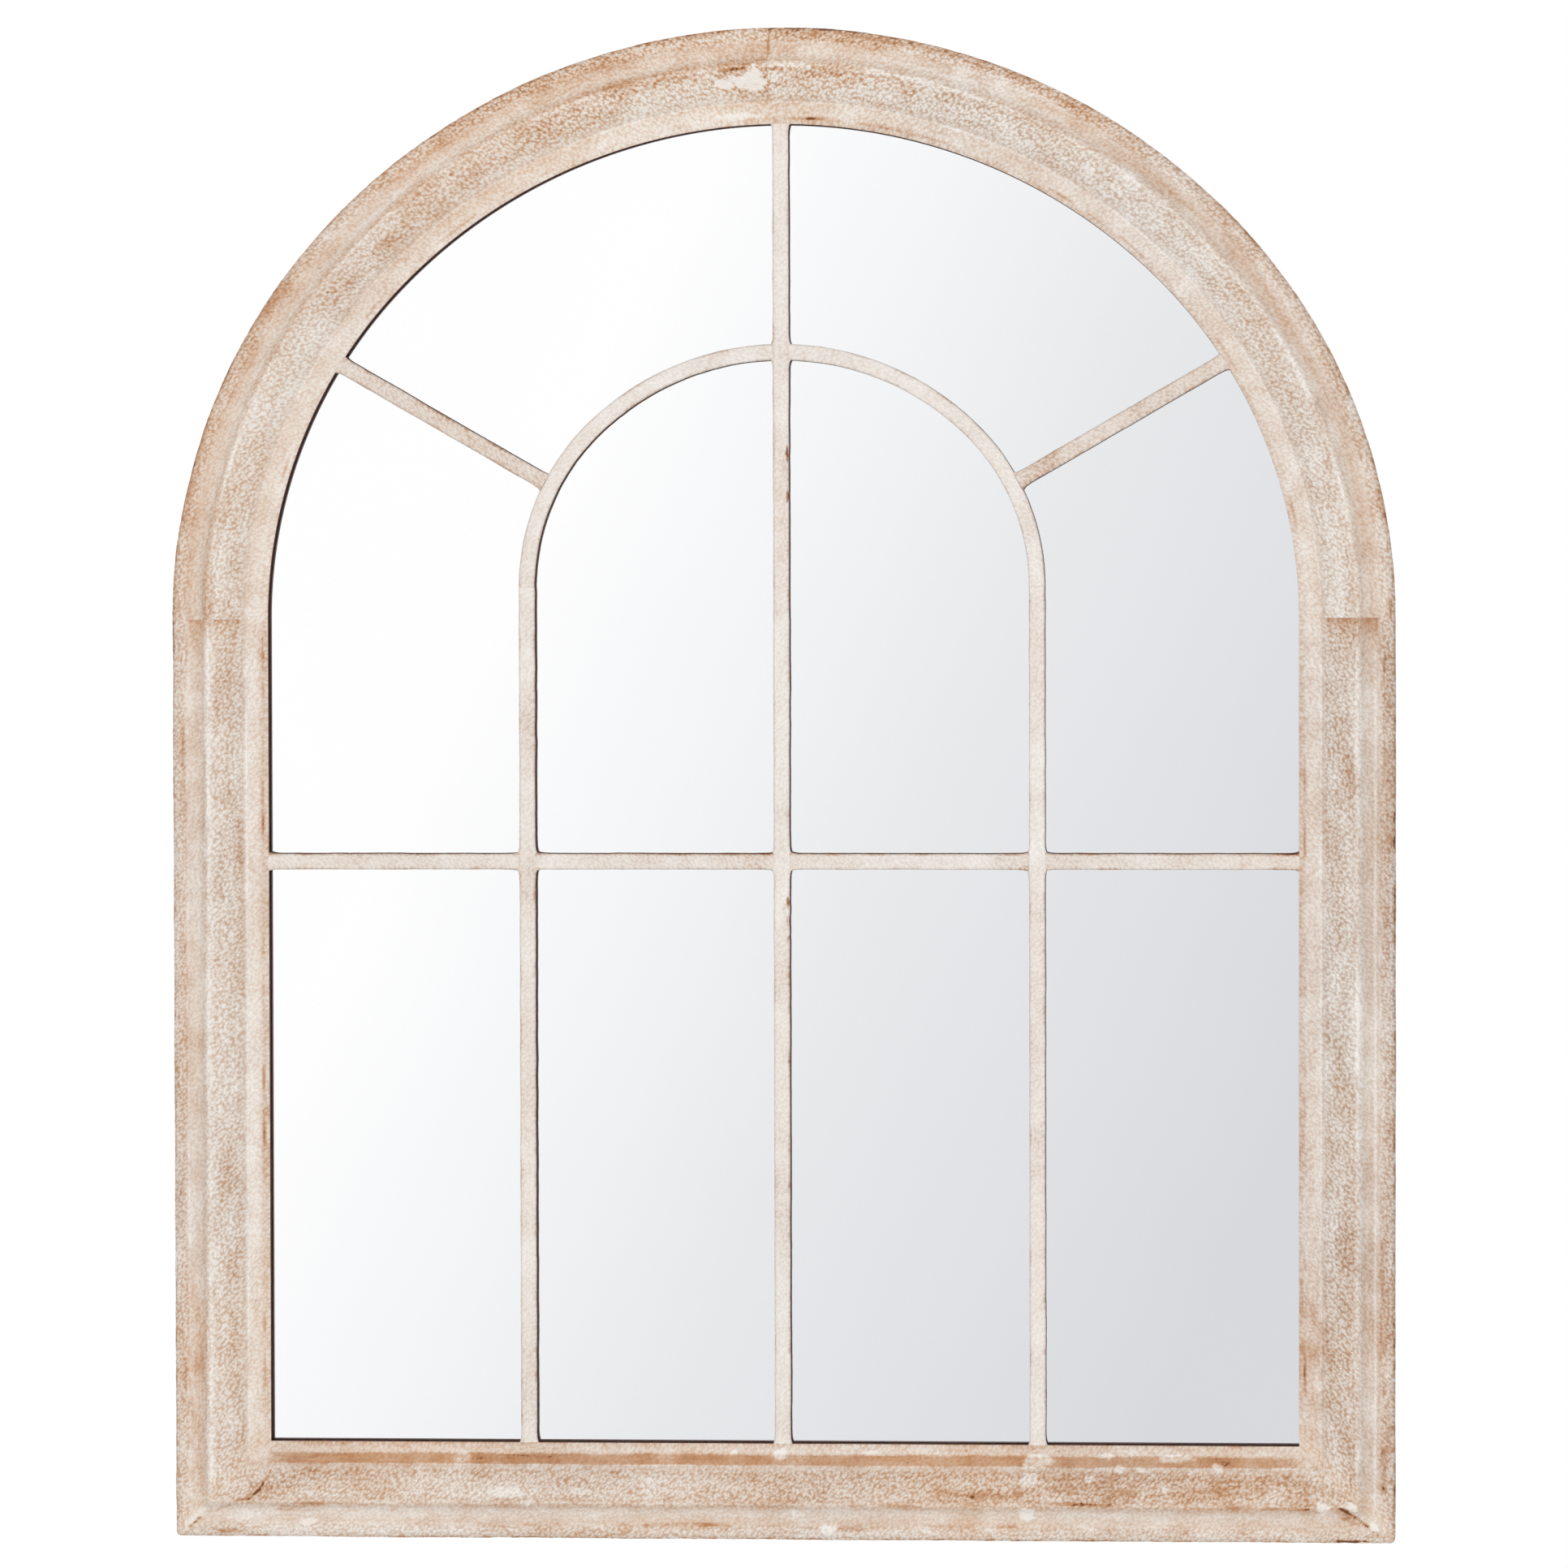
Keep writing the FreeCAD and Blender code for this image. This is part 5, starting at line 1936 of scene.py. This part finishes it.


# Sub-assemblies


# Chips, dabs, rubbed stain, cracks and one painted highlight of the frame, from the crown down to the foot
FRAME_BLEMISHES: tuple[Blemish, ...] = (
    Patch(-0.80, -0.3, -13.5, 822, 13, 13),
    Patch(-0.80, -0.3, -22, 821, 13, 7),
    Patch(-0.80, -0.3, -30, 819.5, 15, 4.5, -5),
    Patch(0.34, 0.0, -22, 828, 26, 2.6, 4),
    Patch(0.30, 0.0, -1, 828, 10, 2.4),
    Patch(-0.40, 0.2, -2.5, 823, 3.5, 5.5),
    Patch(0.16, 0.0, 27, 823, 48, 17, -3),
    Patch(-0.25, 0.2, -24, 802, 30, 4.5, 3),
    Patch(0.40, 0.0, 18.5, 801, 12, 1.8),
    Patch(0.40, 0.0, -30, 795.5, 18, 2.6, 4),
    Patch(0.10, 0.0, 76, 796, 46, 15, -15),
    Patch(0.14, 0.0, -70, 822, 84, 12, 11),
    Crack(-0.20, 0.0, 2.6, ((12, 838.5), (59, 833.5), (116.5, 818), (160, 799))),
    Crack(0.09, 0.0, 3.0, ((23, 829), (86, 818.5), (140, 799), (190, 770))),
    Crack(0.16, 0.0, 1.2, ((31, 848.5), (91, 837.8), (148.5, 816.8), (202, 786))),
    Crack(0.10, 0.0, 4.0, ((-45, 824), (-85, 815.5), (-139, 796), (-189, 767.5), (-211, 750))),
    Crack(-0.10, 0.0, 5.0, ((-27, 813.5), (-82, 804), (-134, 785), (-182, 757.5))),
    Patch(0.32, 0.0, 32, 850.3, 66, 2.0, -4),
    Patch(0.10, 0.0, 70, 840, 130, 15, -10),
    Patch(-0.30, 0.2, 173, 772, 9, 5, -40),
    Patch(-0.30, 0.2, 189, 760, 10, 5, -45),
    Patch(0.16, 0.0, -218, 727, 34, 14, 50),
    Patch(0.30, 0.0, -331, 530, 1.6, 4.5),
    Patch(0.30, 0.0, -311.5, 528, 1.8, 5),
    Patch(0.60, 0.0, -344, 508, 2.0, 26),
    Patch(0.40, 0.0, -294, 500, 2.0, 17),
    Patch(0.35, 0.0, -294, 480, 1.8, 11),
    Patch(0.35, 0.0, 342, 526, 1.8, 13),
    Patch(0.30, 0.0, 338, 488, 1.8, 24),
    Patch(0.22, 0.0, 339, 43, 7, 32),
    Patch(0.09, 0.0, 322, 95, 44, 190),
    Patch(0.20, 0.0, -330, 78, 13, 110),
    # Painted highlight: a pale, slightly raised line down the right stile's step, where light catches it.
    Crack(-0.22, 0.1, 0.7, ((333.4, 20), (333.7, 160), (333.4, 330), (333.6, 500))),
    Patch(0.07, 0.0, 336, 425, 16, 170),
    Patch(0.12, 0.0, 298, 120, 12, 190),
    Patch(0.08, 0.0, -299, 95, 10, 90),
    Crack(0.08, 0.0, 2.0, ((-338.5, 60), (-338.5, 500))),
    Patch(0.17, 0.0, 215, 32, 170, 17),
    Patch(-0.09, 0.0, -150, 30, 300, 22),
    Patch(0.09, 0.0, 210, 5, 150, 9),
    Patch(-0.07, 0.0, -215, 5, 130, 9),
    Patch(-0.25, 0.1, -182, 45.5, 9, 7),
    Patch(-0.30, 0.2, -27, 49, 5, 3),
    Patch(-0.45, 0.4, -1.5, 48, 8, 6),
    Patch(-0.30, 0.2, 49.5, 49, 9, 3),
    Patch(-0.42, 0.5, 144.5, 45, 17, 8),
    Patch(-0.40, 0.4, 139, 35.5, 10, 9),
    Patch(-0.35, 0.3, 182, 48, 9, 3),
    Patch(-0.40, 0.4, 190, 41, 5, 5),
    Patch(-0.30, 0.3, 174.5, 36, 7, 5),
    Patch(-0.35, 0.3, 202, 41, 5, 3.5),
    Patch(-0.40, 0.35, 222.5, 47, 18, 5),
    Patch(-0.45, 0.45, 245.5, 42, 7, 4.5, -20),
    Patch(-0.25, 0.15, -157, 27, 24, 6),
    Patch(-0.22, 0.15, -114, 28, 20, 4.5),
    Patch(-0.30, 0.3, -142.5, 22, 2.2, 7, -20),
    Patch(0.20, 0.0, 92, 28.5, 24, 4, -4),
    Patch(0.24, 0.0, 122, 26.5, 38, 7.5, -5),
    Patch(-0.32, 0.3, 215.5, 30, 2.5, 6.5, 15),
    Patch(-0.30, 0.3, 202, 28, 4, 5, 40),
    Patch(0.25, 0.0, -271, 18.5, 32, 8),
    Patch(0.22, 0.0, 59, 21, 42, 3.2, -3),
    Patch(0.27, 0.0, 168, 22.5, 54, 2.2, -2),
    Patch(0.24, 0.0, 255, 20.5, 13, 3, -8),
    Patch(0.25, 0.0, 281, 20.5, 36, 2.2),
    Patch(0.30, 0.0, -221, 16, 1.8, 6),
    Patch(-0.38, 0.4, 137.5, 17, 11, 8, -30),
    Patch(-0.30, 0.3, 6.5, 17, 3, 8),
    Patch(-0.30, 0.2, -267, 9.6, 12, 4.5),
    Patch(0.15, 0.0, -161, 8, 26, 4),
    Patch(0.25, 0.0, -89, 6.5, 10, 5.5),
    Patch(0.25, 0.0, -51, 8, 46, 5),
    Patch(0.25, 0.0, 40.5, 7, 16, 5),
    Patch(0.25, 0.0, 92, 9, 19, 2),
    Patch(0.25, 0.0, 126.5, 9, 15, 2),
    Patch(-0.35, 0.3, 26, 6, 9, 6),
    Patch(0.30, 0.0, -313, 4, 18, 3),
    Patch(-0.20, 0.2, -309, 12.5, 26, 6),
    Crack(
        0.42,
        -0.25,
        0.75,
        ((-291, 37), (-292, 34), (-294.5, 32), (-295.5, 28.5), (-299, 25.5), (-301.5, 23)),
    ),
    Crack(
        0.42,
        -0.25,
        0.75,
        ((-301.5, 23), (-306, 22.4), (-310, 21), (-313, 18.8), (-315, 18.5), (-320.5, 15.5)),
    ),
    Crack(-0.35, 0.3, 1.6, ((-328.5, 16.5), (-336.5, 7.5))),
    Crack(0.70, -0.5, 0.8, ((-331, 11), (-336.5, 6))),
    Patch(-0.42, 0.5, 304, 21, 8, 8),
    Patch(-0.40, 0.4, 321, 21, 9, 4, -50),
    Patch(-0.38, 0.4, 333, 9, 8, 5, -45),
    Patch(0.32, 0.0, 317, 16.5, 20, 6, -35),
    Crack(0.75, -0.4, 0.8, ((312, 22), (320.5, 17), (328, 11), (335.5, 5.5))),
    Patch(0.80, 0.0, 319.5, 1.6, 19, 2.4),
)
# Dings along the right arris of the centre bar, above and below the cross bar
BAR_BLEMISHES: tuple[Blemish, ...] = (
    Patch(0.50, -0.3, 3.7, 612, 1.8, 10),
    Patch(0.40, -0.25, 3.9, 590, 1.6, 8),
    Patch(0.55, -0.35, 3.6, 360, 2.2, 6),
    Patch(0.45, -0.3, 3.9, 349, 1.8, 9),
    Patch(0.25, -0.1, 1.4, 357, 2.2, 5),
    Patch(0.45, -0.3, 3.8, 339, 1.8, 6),
)


@dataclass
class TimberFrame:
    """The moulded frame: two stiles, the bottom rail and the two halves of the head."""

    left_bands: tuple[Band, ...] = (
        (0, 0.43), (2, 0.36), (6, 0.46), (8.2, 0.48), (8.9, 0.36), (10, 0.38), (14, 0.38), (19.2, 0.38),
        (19.9, 0.29), (24, 0.22), (25, 0.36), (32, 0.38), (40, 0.45), (41, 0.25), (44, 0.26), (48, 0.31),
        (51, 0.52), (54, 0.48),
    )
    # On the right stile, the paler dip at 12 mm is a painted highlight along the step.
    right_bands: tuple[Band, ...] = (
        (0, 0.64), (3, 0.54), (6, 0.55), (9, 0.48), (11, 0.44), (12, 0.41), (13, 0.46), (17, 0.40),
        (20, 0.29), (23, 0.42), (27, 0.47), (35, 0.40), (39, 0.43), (42, 0.35), (47, 0.39), (50, 0.40),
        (52, 0.53), (54, 0.60),
    )
    rail_bands: tuple[Band, ...] = (
        (0, 0.46), (3, 0.40), (6, 0.40), (9, 0.46), (12, 0.40), (15, 0.32), (17.5, 0.36), (20, 0.58),
        (23, 0.58), (25, 0.51), (33, 0.53), (38, 0.56), (40.2, 0.42), (41.4, 0.44), (42.0, 0.80),
        (47.6, 0.81), (48.2, 0.44), (50, 0.38), (52.5, 0.46), (54, 0.58),
    )
    left_arch_bands: tuple[Band, ...] = (
        (0, 0.66), (3, 0.60), (6, 0.56), (9, 0.53), (14, 0.44), (16.5, 0.37), (20.5, 0.57), (23, 0.45),
        (27, 0.38), (31, 0.42), (37, 0.41), (40, 0.38), (43, 0.40), (46, 0.33), (49, 0.26), (52, 0.23),
        (54, 0.36),
    )
    right_arch_bands: tuple[Band, ...] = (
        (0, 0.54), (3, 0.45), (6, 0.46), (10, 0.43), (13, 0.54), (17, 0.42), (21, 0.35), (25, 0.36),
        (32, 0.32), (39, 0.32), (42, 0.31), (48, 0.32), (50.5, 0.34), (54, 0.48),
    )

    def build(self) -> list[bpy.types.Object]:
        """Build the five members.

        Returns:
            The finished pieces.
        """
        given = {"slot": "frame_timber", "limewash": FRAME_LIMEWASH, "blemishes": FRAME_BLEMISHES}
        left, right = {"side": Side.LEFT, **given}, {"side": Side.RIGHT, **given}
        members = (
            Stile("left_stile", seed=100, warmth=0.5, bands=self.left_bands, edge=0.5, **left),
            Stile(
                "right_stile",
                seed=200,
                warmth=0.02,
                bands=self.right_bands,
                stain_shadow_mm=14,
                edge=0.65,
                **right,
            ),
            BottomRail(
                "bottom_rail",
                seed=300,
                warmth=0.7,
                bands=self.rail_bands,
                edge=0.7,
                rub=0.0,
                mottle=0.11,
                **given,
            ),
            ArchHalf("left_arch", seed=400, warmth=0.8, bands=self.left_arch_bands, edge=0.5, **left),
            ArchHalf("right_arch", seed=500, warmth=0.4, bands=self.right_arch_bands, edge=0.5, **right),
        )
        return [member.build() for member in members]


@dataclass
class BarLattice:
    """The glazing bars over the pane."""

    upright: float = INNER_ARCH.half_span
    radial_turn: float = math.radians(30.0)
    bite: float = 0.5 * MM

    def build(self) -> list[bpy.types.Object]:
        """Build the eight bars.

        Returns:
            The finished pieces.
        """
        given = {"slot": "bar_timber", "limewash": BAR_LIMEWASH, "blemishes": BAR_BLEMISHES}
        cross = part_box("cross_bar")
        level = (cross[0].z + cross[1].z) / 2
        low = FOOT + FACE_WIDTH - self.bite
        crown = CROWN - FACE_WIDTH + self.bite
        out = HALF_WIDTH - FACE_WIDTH + self.bite
        arch_top = INNER_ARCH.spring + INNER_ARCH.rise
        halvings = (-self.upright, 0.0, self.upright)
        half = BAR_WIDTH / 2
        bars: list[PaintedTimber] = [
            StraightBar(
                "centre_bar",
                seed=600,
                start=(0, low),
                end=(0, crown),
                crossed=(-half, level - low, arch_top - low, crown - low + half),
                **given,
            ),
            CrossBar(
                "cross_bar",
                seed=620,
                tone=0.34,
                start=(-out, level),
                end=(out, level),
                crossed=(-half, *(x + out for x in halvings), 2 * out + half),
                crossings=halvings,
                **given,
            ),
        ]
        root = (0.0, SPRING)
        near = INNER_ARCH.reach(self.radial_turn, -BAR_WIDTH / 2, root) - self.bite
        far = FRAME_ARCH.reach(self.radial_turn, FACE_WIDTH, root) + self.bite
        for number, side in enumerate(Side):
            hand = side.name.lower()
            x = side.value * self.upright
            across, rise = side.value * math.cos(self.radial_turn), math.sin(self.radial_turn)
            bars += [
                StraightBar(
                    f"{hand}_upright_bar",
                    seed=640 + 20 * number,
                    start=(x, low),
                    end=(x, INNER_ARCH.spring),
                    crossed=(-half, level - low),
                    **given,
                ),
                InnerArchBar(f"{hand}_inner_arch", seed=700 + 20 * number, side=side, **given),
                StraightBar(
                    f"{hand}_radial_bar",
                    seed=740 + 20 * number,
                    tone=0.46,
                    start=(across * near, SPRING + rise * near),
                    end=(across * far, SPRING + rise * far),
                    crossed=(-half, far - near + half),
                    **given,
                ),
            ]
        return [bar.build() for bar in bars]


@dataclass
class SilverSheet:
    """The reflecting coat, set a hair into the pane so that no air shows between them."""

    node: str = "silver_coat"
    bite: float = 0.05 * MM

    def build(self) -> bpy.types.Object:
        """Model the coat on its node's outline and silver it.

        Returns:
            The finished piece.
        """
        bm = bmesh.new()
        bm.from_mesh(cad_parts[self.node].data)
        bmesh.ops.remove_doubles(bm, verts=bm.verts, dist=MERGE_NODE)
        bmesh.ops.translate(bm, vec=(0, -self.bite, 0), verts=bm.verts)
        mesh = bpy.data.meshes.new(self.node + "_mirror")
        bm.to_mesh(mesh)
        bm.free()
        mesh.materials.clear()
        mesh.materials.append(SILVER.material())
        piece = bpy.data.objects.new(self.node + "_mirror", mesh)
        bpy.context.scene.collection.objects.link(piece)
        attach(piece, FRAME_BODY)
        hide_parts(self.node)
        return piece


@dataclass
class DressedNodes:
    """CAD nodes whose shape is right and that only take a finish."""

    finishes: dict[str, Finish] = field(
        default_factory=lambda: {
            "mirror_glass": FLOAT_GLASS,
            "packing_sheet": GREY_CARD,
            "back_panel": HARDBOARD,
            "back_panel_screws": ZINC_STEEL,
            "hanger_screws": ZINC_STEEL,
            "left_hanger_strap": ZINC_STEEL,
            "right_hanger_strap": ZINC_STEEL,
            "left_hanger_ring": ZINC_STEEL,
            "right_hanger_ring": ZINC_STEEL,
            "wall_bumpers": BUMPER_RUBBER,
            "crown_dowels": BEECH,
            "left_spring_dowels": BEECH,
            "right_spring_dowels": BEECH,
            "left_mitre_biscuit": BEECH,
            "right_mitre_biscuit": BEECH,
        }
    )

    def dress(self) -> list[bpy.types.Object]:
        """Give each node its finish.

        Returns:
            The dressed nodes.
        """
        dressed = []
        for name, finish in self.finishes.items():
            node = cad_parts[name]
            if not node.material_slots:
                node.data.materials.append(None)
            for holder in node.material_slots:
                holder.material = finish.material()
            dressed.append(node)
        return dressed


@dataclass
class Studio:
    """White studio: soft light, a pale floor far below and the photograph's camera."""

    camera_place: Point3 = (0.28, -4.2, 0.06)
    camera_aim: Point3 = (0.0, 0.0, -0.0595)
    lens: float = 170.7
    sensor: float = 36.0
    clip: Point2 = (0.05, 60.0)
    roll: float = math.radians(-0.12)
    floor_drop: float = 1.25
    floor_size: float = 9.0
    floor_cloud: float = 0.6
    key_place: Point3 = (0.1, -3.0, 0.4)
    key_size: Point2 = (2.2, 1.6)
    key_watts: float = 33.0
    fill: float = 0.66
    fill_fall: float = 0.08
    mirror_slant: Point3 = (7.26, 0.0, -3.27)
    mirror_start: float = 0.748

    def build(self) -> None:
        """Set up world, lamp, floor and camera."""
        scene = bpy.context.scene
        scene.view_settings.view_transform = "Standard"
        self.set_world(scene)
        self.hang_lamp(scene)
        self.lay_floor(scene)
        self.place_camera(scene)

    def set_world(self, scene: bpy.types.Scene) -> None:
        """Make the world: white to the camera, a soft grey fall in the mirror, even light elsewhere.

        Args:
            scene: the scene that takes the world.
        """
        world = bpy.data.worlds.new("white_studio")
        world.use_nodes = True
        scene.world = world
        tree = world.node_tree
        tree.nodes.clear()
        towards = add_node(tree, "TexCoord").outputs["Generated"]
        # The wall that the pane mirrors: white above and to the left, cool grey low on the right.
        slant = add_node(
            tree,
            "VectorMath",
            {"operation": "DOT_PRODUCT", 1: self.mirror_slant},
            {0: towards},
        ).outputs["Value"]
        place = add_node(
            tree, "Math", {"operation": "ADD", 1: self.mirror_start}, {0: slant}
        ).outputs[0]
        mirrored = add_node(
            tree,
            "ValToRGB",
            {"stops": ((0.0, "#FFFFFF"), (0.24, "#F5F6F8"), (0.5, "#E9EAEC"), (1.0, "#D9DADE"))},
            {"Fac": place},
        ).outputs["Color"]
        rise = add_node(tree, "SeparateXYZ", {}, {0: towards}).outputs["Z"]
        level = add_node(
            tree,
            "MapRange",
            {
                "From Min": -1.0,
                "From Max": 1.0,
                "To Min": self.fill * (1 - self.fill_fall),
                "To Max": self.fill * (1 + self.fill_fall),
            },
            {"Value": rise},
        ).outputs["Result"]
        paths = add_node(tree, "LightPath").outputs
        seen = add_node(
            tree, "Math", {"operation": "ADD"}, {0: paths["Is Glossy Ray"], 1: paths["Is Transmission Ray"]}
        ).outputs[0]
        light = add_node(tree, "Background", {"Color": to_linear("#FFFDFA")}, {"Strength": level}).outputs[0]
        mirror = add_node(tree, "Background", {"Strength": 1.0}, {"Color": mirrored}).outputs[0]
        white = add_node(tree, "Background", {"Color": (1, 1, 1, 1), "Strength": 1.0}).outputs[0]
        either = add_node(tree, "MixShader", {}, {0: seen, 1: light, 2: mirror}).outputs[0]
        final = add_node(tree, "MixShader", {}, {0: paths["Is Camera Ray"], 1: either, 2: white}).outputs[0]
        add_node(tree, "OutputWorld", {}, {"Surface": final})

    def hang_lamp(self, scene: bpy.types.Scene) -> None:
        """Hang the large soft lamp in front and a little above.

        Args:
            scene: the scene that takes the lamp.
        """
        data = bpy.data.lights.new("soft_key", "AREA")
        data.shape = "RECTANGLE"
        data.size, data.size_y = self.key_size
        data.energy = self.key_watts
        lamp = bpy.data.objects.new("soft_key", data)
        lamp.location = self.key_place
        lamp.rotation_euler = (-Vector(lamp.location)).to_track_quat("-Z", "Y").to_euler()
        lamp.visible_glossy = lamp.visible_transmission = lamp.visible_camera = False
        scene.collection.objects.link(lamp)

    def lay_floor(self, scene: bpy.types.Scene) -> None:
        """Lay the pale floor at the height a hung mirror looks down on.

        Args:
            scene: the scene that takes the floor.
        """
        bm = bmesh.new()
        bmesh.ops.create_grid(bm, x_segments=2, y_segments=2, size=self.floor_size)
        bmesh.ops.translate(bm, vec=(0, 0, FOOT - self.floor_drop), verts=bm.verts)
        mesh = bpy.data.meshes.new("studio_floor")
        bm.to_mesh(mesh)
        bm.free()
        material = bpy.data.materials.new("painted_studio_floor")
        material.use_nodes = True
        tree = material.node_tree
        shader = tree.nodes["Principled BSDF"]
        place = add_node(tree, "TexCoord").outputs["Object"]
        cloud = add_node(
            tree, "TexNoise", {"Scale": 1 / self.floor_cloud, "Detail": 2.0}, {"Vector": place}
        ).outputs["Fac"]
        colour = add_node(
            tree, "ValToRGB", {"stops": ((0.3, "#F1F1F1"), (0.7, "#F6F6F6"))}, {"Fac": cloud}
        ).outputs["Color"]
        tree.links.new(colour, shader.inputs["Base Color"])
        shader.inputs["Roughness"].default_value = 0.9
        mesh.materials.append(material)
        floor = bpy.data.objects.new("studio_floor", mesh)
        scene.collection.objects.link(floor)

    def place_camera(self, scene: bpy.types.Scene) -> None:
        """Stand the camera where the photograph was taken from.

        Args:
            scene: the scene that takes the camera.
        """
        data = bpy.data.cameras.new("photo_camera")
        data.sensor_width, data.lens = self.sensor, self.lens
        data.clip_start, data.clip_end = self.clip
        camera = bpy.data.objects.new("photo_camera", data)
        camera.location = self.camera_place
        away = Vector(self.camera_aim) - Vector(self.camera_place)
        level = away.to_track_quat("-Z", "Y")
        camera.rotation_euler = (level @ Quaternion((0, 0, 1), self.roll)).to_euler()
        scene.collection.objects.link(camera)
        scene.camera = camera


def main() -> None:
    """Build the mirror, dress it and light it."""
    logging.basicConfig(level=logging.INFO, format="%(name)s: %(message)s")
    Studio().build()
    for piece in [*TimberFrame().build(), *BarLattice().build(), SilverSheet().build()]:
        LOG.info("%s built with %d faces", piece.name, len(piece.data.polygons))
    for node in DressedNodes().dress():
        LOG.info("%s dressed", node.name)


if __name__ == "__main__":
    main()
